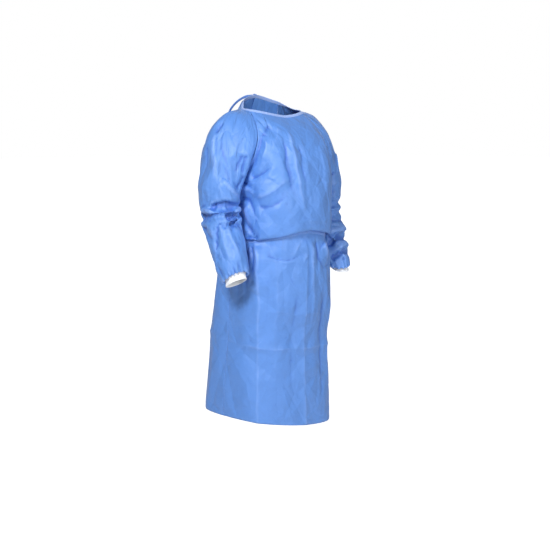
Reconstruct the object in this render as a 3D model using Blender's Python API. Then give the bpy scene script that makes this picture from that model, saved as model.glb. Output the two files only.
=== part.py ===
"""Isolation gown, worn shape: raglan sleeves, knit cuffs, bound neck, tied at the nape and at the waist.

Metres, +Z up. The front faces -Y and the wearer's right is -X. The origin is the middle of the neck
opening, at the height where the shoulders carry the gown.
"""

import bpy
import numpy as np

# Cloth and seams; each panel's row ends short of its side seam by the inset, over the girth that it covers
WALL = 0.0015
KNIT_WALL = 0.0022
SEAM_GAP = 0.0008
SIDE_INSET = 0.0005
FRONT_GIRTH = 0.62
BACK_GIRTH = 0.48
RIGHT = -1
LEFT = 1

# Body rings from the hem up to the blouse over the waist tie and on to the underarm.
# The z columns are the ring's height at the centre front, the side seams and the centre back.
BODY_COLUMNS = ("z_front", "z_side", "z_back", "half_width", "side_y", "front_y", "back_y", "square")
BODY_RINGS = {
    "hem": (-1.101, -1.093, -1.076, 0.208, 0.018, -0.171, 0.208, 2.9),
    "calf": (-0.940, -0.930, -0.920, 0.202, 0.011, -0.171, 0.194, 2.8),
    "thigh": (-0.775, -0.770, -0.765, 0.192, 0.003, -0.171, 0.180, 2.7),
    "hand_level": (-0.680, -0.680, -0.678, 0.194, -0.001, -0.193, 0.166, 2.7),
    "hip": (-0.590, -0.597, -0.597, 0.193, -0.006, -0.197, 0.154, 2.6),
    "below_waist": (-0.480, -0.500, -0.503, 0.184, -0.013, -0.195, 0.138, 2.6),
    "tie_low": (-0.424, -0.457, -0.461, 0.171, -0.019, -0.188, 0.124, 2.5),
    "tie_high": (-0.404, -0.437, -0.441, 0.170, -0.019, -0.188, 0.124, 2.5),
    "lip": (-0.414, -0.446, -0.450, 0.177, -0.021, -0.203, 0.138, 2.6),
    "blouse": (-0.390, -0.416, -0.420, 0.178, -0.023, -0.211, 0.143, 2.7),
    "belly": (-0.345, -0.358, -0.362, 0.175, -0.023, -0.213, 0.142, 2.8),
    "ribs": (-0.302, -0.306, -0.310, 0.174, -0.022, -0.210, 0.138, 2.9),
    "underarm": (-0.260, -0.260, -0.262, 0.177, -0.020, -0.206, 0.135, 3.0),
}
# A row's height falls from its centre to its edge as this power of the way out
ROW_FALL = 1.5

# Yoke rows above the underarm, to the neckline: each is a ring's half cut off at its raglan seam.
YOKE_COLUMNS = ("z_centre", "z_seam", "half_width", "side_y", "depth_y", "square", "seam_y")
YOKE_FRONT = {
    "armpit": (-0.214, -0.206, 0.1765, -0.020, -0.201, 3.0, -0.072),
    "chest": (-0.168, -0.154, 0.1750, -0.019, -0.190, 3.0, -0.104),
    "upper_chest": (-0.120, -0.102, 0.1690, -0.015, -0.168, 2.9, -0.108),
    "collarbone": (-0.072, -0.052, 0.1540, -0.008, -0.130, 2.6, -0.080),
    "neckline": (-0.028, -0.008, 0.1270, 0.000, -0.081, 2.5, -0.034),
}
YOKE_BACK = {
    "armpit": (-0.206, -0.206, 0.1765, -0.018, 0.133, 2.9, 0.048),
    "blade": (-0.150, -0.152, 0.1730, -0.014, 0.128, 2.8, 0.084),
    "upper_back": (-0.092, -0.096, 0.1600, -0.008, 0.121, 2.6, 0.090),
    "nape": (-0.024, -0.036, 0.1350, 0.000, 0.105, 2.4, 0.076),
    "neckline": (0.044, 0.022, 0.1020, 0.000, 0.078, 2.4, 0.051),
}

# The sleeve cap between the raglan seams: points on the front, the top and the back of the shoulder,
# in the same rows as the yoke from the underarm to the neckline, on the wearer's left.
CAP_FRONT = (
    (0.243, -0.094, -0.262),
    (0.240, -0.096, -0.205),
    (0.228, -0.096, -0.146),
    (0.206, -0.083, -0.086),
    (0.168, -0.056, -0.034),
    (0.124, -0.019, -0.004),
)
CAP_TOP = (
    (0.309, -0.012, -0.262),
    (0.294, -0.006, -0.190),
    (0.278, 0.002, -0.122),
    (0.250, 0.004, -0.062),
    (0.199, 0.003, -0.016),
    (0.127, 0.002, 0.000),
)
CAP_BACK = (
    (0.243, 0.070, -0.262),
    (0.236, 0.074, -0.203),
    (0.222, 0.077, -0.141),
    (0.198, 0.073, -0.078),
    (0.152, 0.052, -0.031),
    (0.107, 0.028, 0.010),
)

# Sleeve rings from the cuff seam up to below the underarm, with the wearer's left x and a lean each way.
SLEEVE_COLUMNS = ("x", "y", "z", "lean_out", "lean_front", "side_radius", "front_radius")
SLEEVE_RINGS = {
    "cuff_seam": (0.257, -0.1100, -0.5530, 4, 24, 0.0365, 0.0385),
    "gather": (0.257, -0.1040, -0.5400, 4, 24, 0.0460, 0.0480),
    "puff": (0.257, -0.0940, -0.5200, 4, 24, 0.0540, 0.0570),
    "wrist": (0.256, -0.0820, -0.4900, 4, 22, 0.0555, 0.0590),
    "forearm": (0.255, -0.0620, -0.4430, 4, 20, 0.0575, 0.0625),
    "below_elbow": (0.252, -0.0410, -0.4000, 4, 16, 0.0610, 0.0665),
    "lower_roll": (0.250, -0.0310, -0.3760, 3, 12, 0.0635, 0.0710),
    "lower_fold": (0.250, -0.0230, -0.3620, 3, 10, 0.0610, 0.0640),
    "middle_roll": (0.249, -0.0210, -0.3460, 2, 6, 0.0650, 0.0750),
    "upper_fold": (0.248, -0.0140, -0.3320, 2, 4, 0.0615, 0.0660),
    "upper_roll": (0.247, -0.0150, -0.3140, 1, 2, 0.0640, 0.0765),
    "upper_arm": (0.246, -0.0130, -0.2900, 0, 0, 0.0640, 0.0780),
}
CUFF_RINGS = {
    "turned_in": (0.257, -0.1103, -0.5536, 4, 24, 0.0362, 0.0382),
    "wrist": (0.258, -0.1150, -0.5660, 4, 24, 0.0340, 0.0360),
    "edge": (0.259, -0.1195, -0.5790, 4, 24, 0.0355, 0.0375),
}
# The right forearm reaches forward and its rings stand square to it. The left one's rings droop in front.
RING_LEANS = {RIGHT: (-1.0, -1.15), LEFT: (1.0, 1.0)}
# The wearer's left hand is held a little higher, less far forward and closer in.
LEFT_ARM_RAISE = 0.010
LEFT_ARM_BACK = 0.022
LEFT_ARM_IN = 0.006
UNDERARM_HEIGHT = -0.26
ARM_LENGTH_MOVED = 0.300

# The skirt hangs lower on the wearer's left: its drop for each metre of x, full at this depth below the waist
SKIRT_LEAN = 0.13
WAIST_HEIGHT = -0.45
LEAN_DEPTH = 0.30

# Closure at the back: the right panel lies over the left one
OVERLAP_NECK = 0.02
OVERLAP_HEM = 0.14
OVERLAP_POWER = 1.5
FLAP_LIFT = 0.0045
FLAP_RAMP = 0.10
FLAP_LIFTED_FROM = 0.05

# Neck binding and ties
BINDING_HEIGHT = 0.009
BINDING_WALL = 0.0026
BINDING_MERGE = 0.002
BINDING_GAP = 0.0009
KNOT_GROOVE = 0.12
KNOT_GROOVE_POWER = 6
KNOT_BLUNTNESS = 0.7
KNOT_ROWS = 7
KNOT_COLUMNS = 10
NECK_KNOT = (0.003, 0.0874, 0.0495)
NECK_KNOT_SIZE = (0.020, 0.014, 0.012)
TAIL_ROWS = 12
NECK_TAIL_RIGHT = (
    (-0.0078, 0.0876, 0.0490),
    (-0.0280, 0.0930, 0.0470),
    (-0.0550, 0.1080, 0.0310),
    (-0.0770, 0.1200, 0.0040),
    (-0.0880, 0.1300, -0.0300),
    (-0.0930, 0.1370, -0.0900),
    (-0.0940, 0.1410, -0.1700),
)
NECK_TAIL_LEFT = (
    (0.0150, 0.0876, 0.0490),
    (0.0280, 0.0970, 0.0400),
    (0.0360, 0.1170, 0.0000),
    (0.0400, 0.1270, -0.0500),
    (0.0430, 0.1340, -0.1200),
    (0.0450, 0.1380, -0.1900),
)
TIE_STATION = 6.0
TIE_STEP = 0.035
WAIST_TIE_START = 0.0004
WAIST_KNOT = (0.0, 0.1370, -0.4660)
WAIST_KNOT_SIZE = (0.026, 0.020, 0.012)
WAIST_END_RIGHT = (
    (-0.0088, 0.1376, -0.4744),
    (-0.0130, 0.1480, -0.5000),
    (-0.0150, 0.1570, -0.5400),
    (-0.0200, 0.1680, -0.6100),
    (-0.0230, 0.1790, -0.6900),
)
WAIST_END_LEFT = (
    (0.0088, 0.1376, -0.4740),
    (0.0180, 0.1480, -0.5000),
    (0.0240, 0.1570, -0.5400),
    (0.0300, 0.1700, -0.6200),
    (0.0330, 0.1830, -0.7200),
)
TIE_WALL = 0.0012
TIE_CLEARANCE = 0.0009
TIE_DROP = 0.0015
WAIST_TIE_WIDTH = 0.014
NECK_TIE_WIDTH = 0.010

# Mesh spacing
FRONT_COLUMNS = 20
BACK_COLUMNS = 12
SLEEVE_COLUMNS_ROUND = 16
CURVE_SAMPLES = 160
ARCH_FULLNESS = 0.5
RING_FULLNESS = 0.83
SAMPLE_CROWDING = 1.3
# How far each yoke row of the sleeve still closes round the arm: 1 is a ring, 0 an open arch
YOKE_CLOSED = (1.0, 0.75, 0.4, 0.15, 0.0, 0.0)
YOKE_STATIONS = (0.0, 0.5, 1.0, 1.5, 2.0, 2.5, 3.0, 3.5, 4.0, 4.5, 5.0)

GOWN_BLUE = (0.19, 0.36, 0.78)
KNIT_WHITE = (0.86, 0.88, 0.90)
BINDING_BLUE = (0.33, 0.46, 0.84)


def clear_scene():
    for item in list(bpy.data.objects):
        bpy.data.objects.remove(item)


def named_material(name, colour, roughness):
    material = bpy.data.materials.new(name)
    material.use_nodes = True
    shader = material.node_tree.nodes["Principled BSDF"]
    shader.inputs["Base Color"].default_value = (*colour, 1.0)
    shader.inputs["Roughness"].default_value = roughness
    shader.inputs["Metallic"].default_value = 0.0
    return material


def glide(rows, spacing, station):
    """Read a table at a station between its rows, on a smooth curve through every row."""
    rows = np.asarray(rows, dtype=float)
    spacing = np.asarray(spacing, dtype=float)[:, None]
    steps = np.diff(rows, axis=0) / spacing
    slopes = np.empty_like(rows)
    slopes[0] = steps[0]
    slopes[-1] = steps[-1]
    slopes[1:-1] = (spacing[1:] * steps[:-1] + spacing[:-1] * steps[1:]) / (spacing[:-1] + spacing[1:])
    index = min(int(station), len(rows) - 2)
    f = station - index
    h = spacing[index, 0]
    start = rows[index] * (1 + 2 * f) * (1 - f) ** 2 + slopes[index] * h * f * (1 - f) ** 2
    end = rows[index + 1] * f * f * (3 - 2 * f) + slopes[index + 1] * h * f * f * (f - 1)
    return start + end


def distances(rows):
    return np.linalg.norm(np.diff(np.asarray(rows, dtype=float), axis=0), axis=1)


def resample(points, fractions):
    """Points at the given fractions of a polyline's length."""
    travelled = np.concatenate([[0.0], np.cumsum(distances(points))])
    wanted = np.asarray(fractions) * travelled[-1]
    return np.stack([np.interp(wanted, travelled, points[:, k]) for k in range(3)], axis=1)


def half_tables(half):
    """The rows of a body half, hem to neckline, in the yoke's columns."""
    rows = []
    for values in BODY_RINGS.values():
        ring = dict(zip(BODY_COLUMNS, values))
        rows.append(
            (
                ring["z_" + half],
                ring["z_side"],
                ring["half_width"],
                ring["side_y"],
                ring[half + "_y"],
                ring["square"],
                ring["side_y"],
            )
        )
    rows.extend((YOKE_FRONT if half == "front" else YOKE_BACK).values())
    return rows


def row_values(half, station):
    """The yoke columns at a station; the seam turns a corner at the underarm."""
    rows = half_tables(half)
    spacing = distances([(row[0], row[4]) for row in rows])
    underarm = len(BODY_RINGS) - 1
    values = dict(zip(YOKE_COLUMNS, glide(rows, spacing, station)))
    if station <= underarm:
        values["seam_y"] = values["side_y"]
        values["z_seam"] = glide(rows[: underarm + 1], spacing[:underarm], station)[1]
    else:
        seam = glide(rows[underarm:], spacing[underarm:], station - underarm)
        values["seam_y"] = seam[6]
        values["z_seam"] = seam[1]
    return values


def half_row(side, half, station):
    """One row of a body half at a station, from its centre out to its side or raglan seam."""
    row = row_values(half, station)
    power = 2 / row["square"]
    depth = row["depth_y"] - row["side_y"]
    cut = np.arccos(np.clip((row["seam_y"] - row["side_y"]) / depth, 0.0, 1.0) ** (1 / power))
    turn = np.linspace(0.0, 1.0, CURVE_SAMPLES) ** SAMPLE_CROWDING * cut
    reach = np.sin(turn) ** power
    x = side * row["half_width"] * reach
    y = row["side_y"] + depth * np.cos(turn).clip(0.0) ** power
    z = row["z_centre"] + (row["z_seam"] - row["z_centre"]) * (reach / reach[-1]) ** ROW_FALL
    lean = np.clip((WAIST_HEIGHT - z) / LEAN_DEPTH, 0.0, 1.0)
    z = z - x * SKIRT_LEAN * lean * lean * (3 - 2 * lean)
    return np.stack([x, y, z], axis=1)


def full_row(half, station):
    """A whole row from the right seam across the centre to the left seam."""
    right = half_row(RIGHT, half, station)
    left = half_row(LEFT, half, station)
    return np.concatenate([right[::-1], left[1:]])


def body_stations():
    """Rows of every body panel: closer together where the cloth turns over the waist tie."""
    names = list(BODY_RINGS)[:-1]
    stations = []
    for index, name in enumerate(names):
        stations.append(float(index))
        if name in ("hem", "calf", "thigh", "hip"):
            stations.append(index + 0.5)
    return stations + [len(names) + s for s in YOKE_STATIONS]


def body_grid(half, first, last, columns):
    """Rows by columns of a body panel; first and last are functions of height along the panel, 0 to 1."""
    rows = []
    stations = body_stations()
    for station in stations:
        share = station / stations[-1]
        fractions = np.linspace(first(share), last(share), columns)
        rows.append(resample(full_row(half, station), fractions))
    return np.array(rows)


def grid_normals(grid, wrapped):
    """Outward unit normals of a grid of points whose rows run left to right seen from outside."""
    if wrapped:
        across = np.roll(grid, -1, axis=1) - np.roll(grid, 1, axis=1)
    else:
        across = np.gradient(grid, axis=1)
    along = np.gradient(grid, axis=0)
    normals = np.cross(across, along)
    return normals / np.maximum(np.linalg.norm(normals, axis=2, keepdims=True), 1e-9)


def arm_shift(side, z):
    """The left forearm's change of place, growing from the elbow down."""
    if side == RIGHT:
        return np.zeros(3)
    share = np.clip((UNDERARM_HEIGHT - z) / ARM_LENGTH_MOVED, 0.0, 1.0)
    return np.array([-LEFT_ARM_IN, LEFT_ARM_BACK, LEFT_ARM_RAISE]) * share


def ring_controls(side, values):
    """Inner, front, outer, back and inner points of a sleeve ring."""
    ring = dict(zip(SLEEVE_COLUMNS, values))
    out_share, front_share = RING_LEANS[side]
    lean_out = np.radians(ring["lean_out"] * out_share)
    lean_front = np.radians(ring["lean_front"] * front_share)
    outward = np.array([np.cos(lean_out), 0.0, np.sin(lean_out)])
    forward = np.array([0.0, -np.cos(lean_front), -np.sin(lean_front)])
    centre = np.array([ring["x"], ring["y"], ring["z"]]) + arm_shift(side, ring["z"])
    p = ring["side_radius"] * outward
    q = ring["front_radius"] * forward
    points = np.array([centre - p, centre + q, centre + p, centre - q, centre - p])
    points[:, 0] *= side
    return points


def arm_controls(side, rings):
    return [ring_controls(side, values) for values in rings.values()]


def yoke_controls(side):
    """Front seam, front, top, back and back seam of the sleeve cap in each yoke row."""
    rows = []
    underarm = len(BODY_RINGS) - 1
    for index, points in enumerate(zip(CAP_FRONT, CAP_TOP, CAP_BACK)):
        front = half_row(LEFT, "front", underarm + index)[-1]
        back = half_row(LEFT, "back", underarm + index)[-1]
        rows.append(np.array([front, *points, back]))
    return [row * (side, 1, 1) for row in rows]


def round_row(controls, closed, columns):
    """A row round the arm through five points; closed is 1 for a ring and falls to 0 for an open arch."""
    fullness = ARCH_FULLNESS + (RING_FULLNESS - ARCH_FULLNESS) * closed
    tangents = np.empty_like(controls)
    tangents[1:-1] = (controls[2:] - controls[:-2]) * fullness
    ring_tangent = (controls[1] - controls[-2]) * fullness
    tangents[0] = closed * ring_tangent + (1 - closed) * (controls[1] - controls[0])
    tangents[-1] = closed * ring_tangent + (1 - closed) * (controls[-1] - controls[-2])
    f = np.linspace(0.0, 1.0, CURVE_SAMPLES // 4, endpoint=False)[:, None]
    pieces = []
    for index in range(len(controls) - 1):
        start = controls[index] * (1 + 2 * f) * (1 - f) ** 2 + tangents[index] * f * (1 - f) ** 2
        end = controls[index + 1] * f * f * (3 - 2 * f) + tangents[index + 1] * f * f * (f - 1)
        pieces.append(start + end)
    pieces.append(controls[-1:])
    return resample(np.concatenate(pieces), np.linspace(0.0, 1.0, columns))


def sleeve_grid(side):
    """Rows from the cuff seam to the neckline, columns round the arm from the underarm by the front."""
    lower = arm_controls(side, SLEEVE_RINGS)
    upper = yoke_controls(side)
    rings = len(lower)
    controls = np.array(lower + upper)
    outer = [row[2] for row in controls]
    spacing = distances(outer)
    closed = [(1.0,)] * rings + [(value,) for value in YOKE_CLOSED]
    flat = controls.reshape(len(controls), -1)
    stations = [float(index) for index in range(rings)] + [rings + s for s in YOKE_STATIONS]
    rows = []
    for station in stations:
        row = glide(flat, spacing, station).reshape(5, 3)
        if station <= rings:
            seam = glide(flat[: rings + 1], spacing[:rings], station).reshape(5, 3)
        else:
            seam = glide(flat[rings:], spacing[rings:], station - rings).reshape(5, 3)
        row[0] = seam[0]
        row[-1] = seam[-1]
        if station >= rings:
            underarm = len(BODY_RINGS) - 1
            row[0] = half_row(side, "front", underarm + station - rings)[-1]
            row[-1] = half_row(side, "back", underarm + station - rings)[-1]
            row[0, 0] += side * SEAM_GAP
            row[-1, 0] += side * SEAM_GAP
        share = glide(closed, spacing, station)[0]
        rows.append(round_row(row, float(np.clip(share, 0.0, 1.0)), SLEEVE_COLUMNS_ROUND + 1))
    return np.array(rows), rings


def make_object(name, vertices, faces, material):
    mesh = bpy.data.meshes.new(name)
    mesh.from_pydata([tuple(map(float, v)) for v in vertices], [], faces)
    mesh.validate()
    mesh.materials.append(material)
    mesh.shade_smooth()
    item = bpy.data.objects.new(name, mesh)
    bpy.context.scene.collection.objects.link(item)
    return item


def skin_faces(indices):
    """Quads over a grid of vertex numbers, leaving out corners that two columns share."""
    faces = []
    for row in range(indices.shape[0] - 1):
        for column in range(indices.shape[1] - 1):
            corners = (
                indices[row, column],
                indices[row, column + 1],
                indices[row + 1, column + 1],
                indices[row + 1, column],
            )
            kept = []
            for corner in corners:
                if corner not in kept:
                    kept.append(int(corner))
            faces.append(tuple(kept[:3]))
            if len(kept) == 4:
                faces.append((kept[0], kept[2], kept[3]))
    return faces


def rim_loops(faces):
    """Edges that only one face uses, each in that face's direction."""
    used = {}
    for face in faces:
        for a, b in zip(face, face[1:] + face[:1]):
            used[(a, b)] = True
    return [(a, b) for a, b in used if (b, a) not in used]


def cloth_solid(name, outer, inner, material, closed_rows=0, flip=False):
    """A closed wall between two grids; in the first closed_rows rows the last column is the first one."""
    rows, columns = outer.shape[:2]
    numbers = np.arange(rows * columns).reshape(rows, columns)
    for row in range(closed_rows):
        numbers[row, -1] = numbers[row, 0]
    kept = np.unique(numbers)
    renumber = {int(old): new for new, old in enumerate(kept)}
    indices = np.vectorize(lambda n: renumber[int(n)])(numbers)
    faces = skin_faces(indices)
    if flip:
        faces = [face[::-1] for face in faces]
    count = len(kept)
    outside = outer.reshape(-1, 3)[kept]
    inside = inner.reshape(-1, 3)[kept]
    back_faces = [tuple(corner + count for corner in face[::-1]) for face in faces]
    rim = [(b, a, a + count, b + count) for a, b in rim_loops(faces)]
    return make_object(name, np.concatenate([outside, inside]), faces + back_faces + rim, material)


def front_panel(cloth):
    inset = SIDE_INSET / FRONT_GIRTH
    grid = body_grid("front", lambda share: inset, lambda share: 1 - inset, FRONT_COLUMNS + 1)
    normals = grid_normals(grid, False)
    cloth_solid("front_panel", grid, grid - WALL * normals, cloth)
    return grid, normals


def overlap(share):
    """The share of the whole back row that both panels cover, from the hem up."""
    return OVERLAP_HEM + (OVERLAP_NECK - OVERLAP_HEM) * share**OVERLAP_POWER


def back_lift(grid):
    """How far the outer flap stands off the inner one: nothing by its seam, all of it at the overlap."""
    x = grid[:, :, 0]
    rise = np.clip((x + FLAP_RAMP + FLAP_LIFTED_FROM) / FLAP_RAMP, 0.0, 1.0)
    return rise * rise * (3 - 2 * rise) * FLAP_LIFT


def back_panels(cloth):
    inset = SIDE_INSET / BACK_GIRTH
    right = body_grid("back", lambda share: inset, lambda share: 0.5 + overlap(share) / 2, BACK_COLUMNS + 1)
    left = body_grid("back", lambda share: 0.5 - overlap(share) / 2, lambda share: 1 - inset, BACK_COLUMNS + 1)
    right_normals = -grid_normals(right, False)
    left_normals = -grid_normals(left, False)
    right = right + back_lift(right)[:, :, None] * right_normals
    cloth_solid("back_panel_right", right, right - WALL * right_normals, cloth, flip=True)
    cloth_solid("back_panel_left", left, left - WALL * left_normals, cloth, flip=True)
    return (right, right_normals), (left, left_normals)


def sleeve(side, cloth):
    grid, rings = sleeve_grid(side)
    normals = grid_normals(grid, False)
    seam_across = grid[: rings + 1, 1] - grid[: rings + 1, -2]
    seam_along = np.gradient(grid[: rings + 1, 0], axis=0)
    seam_normal = np.cross(seam_across, seam_along)
    seam_normal /= np.linalg.norm(seam_normal, axis=1, keepdims=True)
    normals[: rings + 1, 0] = seam_normal
    normals[: rings + 1, -1] = seam_normal
    normals = normals * side
    name = "sleeve_right" if side == RIGHT else "sleeve_left"
    cloth_solid(name, grid, grid - WALL * normals, cloth, closed_rows=rings + 1, flip=side == RIGHT)
    return grid, normals


def cuff(side, knit):
    controls = arm_controls(side, CUFF_RINGS)[::-1]
    grid = np.array([round_row(row, 1.0, SLEEVE_COLUMNS_ROUND + 1) for row in controls])
    core = grid[:, :-1]
    normals = grid_normals(core, True)
    normals = np.concatenate([normals, normals[:, :1]], axis=1)
    normals = normals * side
    name = "cuff_right" if side == RIGHT else "cuff_left"
    cloth_solid(name, grid, grid - KNIT_WALL * normals, knit, closed_rows=len(controls), flip=side == RIGHT)


def smooth_path(values, rounds):
    """Evens out a list of vectors, keeping its ends."""
    values = values.copy()
    for _ in range(rounds):
        values[1:-1] = (values[:-2] + 2 * values[1:-1] + values[2:]) / 4
    return values


def unit(vectors):
    return vectors / np.linalg.norm(vectors, axis=-1, keepdims=True)


def strip_solid(name, middle, across, outward, width, thickness, material):
    """A flat band along a path: across spans its width, outward is the side that shows."""
    across = unit(across)
    outward = unit(outward - across * np.sum(across * outward, axis=1, keepdims=True))
    low = middle - across * width / 2
    high = middle + across * width / 2
    outer = np.stack([low, high]) + outward * thickness / 2
    inner = np.stack([low, high]) - outward * thickness / 2
    run = middle[1] - middle[0]
    flip = np.dot(np.cross(run, across[0]), outward[0]) < 0
    return cloth_solid(name, outer, inner, material, flip=bool(flip))


def neck_edge(pieces):
    """The neckline of the joined pieces, from the right flap's free edge to the left flap's."""
    edge, rise, outward = [], [], []
    for grid, normals, reverse in pieces:
        top = grid[-1] - WALL / 2 * normals[-1]
        up = unit(grid[-1] - grid[-2])
        order = slice(None, None, -1) if reverse else slice(None)
        edge.append(top[order])
        rise.append(up[order])
        outward.append(normals[-1][order])
    edge, rise, outward = (np.concatenate(part) for part in (edge, rise, outward))
    kept = [0]
    for index in range(1, len(edge)):
        if np.linalg.norm(edge[index] - edge[kept[-1]]) > BINDING_MERGE:
            kept.append(index)
    return edge[kept], smooth_path(rise[kept], 3), smooth_path(outward[kept], 3)


def neck_binding(pieces, tape):
    edge, rise, outward = neck_edge(pieces)
    rise = unit(rise)
    middle = edge + rise * (BINDING_GAP + BINDING_HEIGHT / 2)
    return strip_solid("neck_binding", middle, rise, outward, BINDING_HEIGHT, BINDING_WALL, tape)


def curve_through(points, count):
    points = np.array(points, dtype=float)
    spacing = distances(points)
    stations = np.linspace(0, len(points) - 1, count)
    return np.array([glide(points, spacing, station) for station in stations])


def knot(name, centre, size, material):
    """A plain rounded lump where two ties cross, drawn in by a groove round its middle."""
    rows, columns = KNOT_ROWS, KNOT_COLUMNS
    across, along, deep = size
    grid = []
    for row in range(rows):
        polar = np.pi * row / (rows - 1)
        for column in range(columns):
            turn = 2 * np.pi * column / columns
            reach = np.sin(polar) ** KNOT_BLUNTNESS * (1 - KNOT_GROOVE * np.sin(polar) ** KNOT_GROOVE_POWER)
            grid.append(
                (
                    centre[0] - across / 2 * np.cos(polar),
                    centre[1] + deep / 2 * reach * np.cos(turn),
                    centre[2] + along / 2 * reach * np.sin(turn),
                )
            )
    vertices = [grid[0]] + grid[columns : (rows - 1) * columns] + [grid[-1]]
    faces = []
    for column in range(columns):
        after = (column + 1) % columns
        faces.append((0, 1 + after, 1 + column))
        for row in range(rows - 3):
            a = 1 + row * columns + column
            b = 1 + row * columns + after
            faces.append((a, b, b + columns))
            faces.append((a, b + columns, a + columns))
        last = 1 + (rows - 3) * columns
        faces.append((last + column, last + after, len(vertices) - 1))
    return make_object(name, vertices, faces, material)


def neck_ties(tape):
    knot("neck_knot", NECK_KNOT, NECK_KNOT_SIZE, tape)
    for name, points in (("neck_tie_right", NECK_TAIL_RIGHT), ("neck_tie_left", NECK_TAIL_LEFT)):
        middle = curve_through(points, TAIL_ROWS)
        run = np.gradient(middle, axis=0)
        outward = np.tile((0.0, 1.0, 0.35), (len(middle), 1))
        across = np.cross(run, outward)
        strip_solid(name, middle, across, outward, NECK_TIE_WIDTH, TIE_WALL, tape)


def waist_ties(front, back_right, back_left, tape):
    """Each tie lies on the cloth's own points, from the centre front round to the knot at the back."""
    low = body_stations().index(TIE_STATION)
    half = FRONT_COLUMNS // 2
    front_right = [grid[low : low + 2, half::-1] for grid in front]
    front_left = [grid[low : low + 2, half:] for grid in front]
    on_right = [grid[low : low + 2] for grid in back_right]
    on_left = [grid[low : low + 2, ::-1] for grid in back_left]
    edge = on_right[0][0, -1, 0]
    before_knot = on_right[0][0, :, 0] < -WAIST_KNOT_SIZE[0] / 2
    after_knot = on_right[0][0, :, 0] > WAIST_KNOT_SIZE[0] / 2
    clear_of_edge = on_left[0][0, :, 0] > edge + TIE_STEP
    right_run = [np.concatenate([f[:, :-1], b[:, before_knot]], axis=1) for f, b in zip(front_right, on_right)]
    left_run = [
        np.concatenate([f[:, :-1], b[:, clear_of_edge], c[:, after_knot][:, ::-1]], axis=1)
        for f, b, c in zip(front_left, on_left, on_right)
    ]
    for side, run, name in ((RIGHT, right_run, "waist_tie_right"), (LEFT, left_run, "waist_tie_left")):
        (low_row, high_row), (low_out, high_out) = run
        outward = unit(low_out + high_out)
        rise = unit(high_row - low_row)
        middle = (low_row + high_row) / 2 - rise * TIE_DROP + outward * (TIE_CLEARANCE + TIE_WALL / 2)
        middle[0, 0] = side * WAIST_TIE_START
        strip_solid(name, middle, rise, outward, WAIST_TIE_WIDTH, TIE_WALL, tape)


def waist_tails(tape):
    """The waist knot on the outer flap and its two free ends, hanging down the back."""
    knot("waist_knot", WAIST_KNOT, WAIST_KNOT_SIZE, tape)
    for name, points in (("waist_end_right", WAIST_END_RIGHT), ("waist_end_left", WAIST_END_LEFT)):
        middle = curve_through(points, TAIL_ROWS)
        run = np.gradient(middle, axis=0)
        outward = np.tile((0.0, 1.0, 0.1), (len(middle), 1))
        strip_solid(name, middle, np.cross(run, outward), outward, WAIST_TIE_WIDTH, TIE_WALL, tape)


def main():
    clear_scene()
    cloth = named_material("gown_cloth", GOWN_BLUE, 0.75)
    knit = named_material("cuff_knit", KNIT_WHITE, 0.9)
    tape = named_material("tie_tape", BINDING_BLUE, 0.7)
    front = front_panel(cloth)
    back_right, back_left = back_panels(cloth)
    caps = {}
    for side in (RIGHT, LEFT):
        caps[side] = sleeve(side, cloth)
        cuff(side, knit)
    neck_binding(
        (
            (*back_right, True),
            (*caps[RIGHT], True),
            (*front, False),
            (*caps[LEFT], False),
            (*back_left, True),
        ),
        tape,
    )
    neck_ties(tape)
    waist_ties(front, back_right, back_left, tape)
    waist_tails(tape)


main()
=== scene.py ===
"""Isolation gown as worn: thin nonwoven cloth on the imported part's form, with folds, seams, cuffs and ties.

Metres, +Z up. The front faces -Y and the gown's right is -X. The origin is the middle of the neck opening.
"""

import bpy
import numpy as np
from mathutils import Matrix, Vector
from mathutils.bvhtree import BVHTree


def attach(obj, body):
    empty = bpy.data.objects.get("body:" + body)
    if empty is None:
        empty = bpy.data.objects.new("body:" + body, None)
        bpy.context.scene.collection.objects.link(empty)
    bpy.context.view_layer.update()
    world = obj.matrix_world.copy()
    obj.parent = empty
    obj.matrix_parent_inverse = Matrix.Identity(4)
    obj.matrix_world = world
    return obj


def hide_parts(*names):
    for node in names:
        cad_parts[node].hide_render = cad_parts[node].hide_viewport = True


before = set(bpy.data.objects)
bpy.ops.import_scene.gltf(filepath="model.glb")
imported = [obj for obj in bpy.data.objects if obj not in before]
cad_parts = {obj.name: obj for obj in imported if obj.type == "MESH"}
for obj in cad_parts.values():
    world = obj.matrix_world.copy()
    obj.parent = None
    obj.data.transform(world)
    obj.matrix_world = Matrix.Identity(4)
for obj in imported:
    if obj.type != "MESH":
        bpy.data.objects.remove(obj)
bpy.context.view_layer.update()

RIGHT = -1
LEFT = 1
BODY = "root"
BODY_PANELS = ("front_panel", "back_panel_right", "back_panel_left")
SLEEVES = ("sleeve_right", "sleeve_left")

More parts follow.
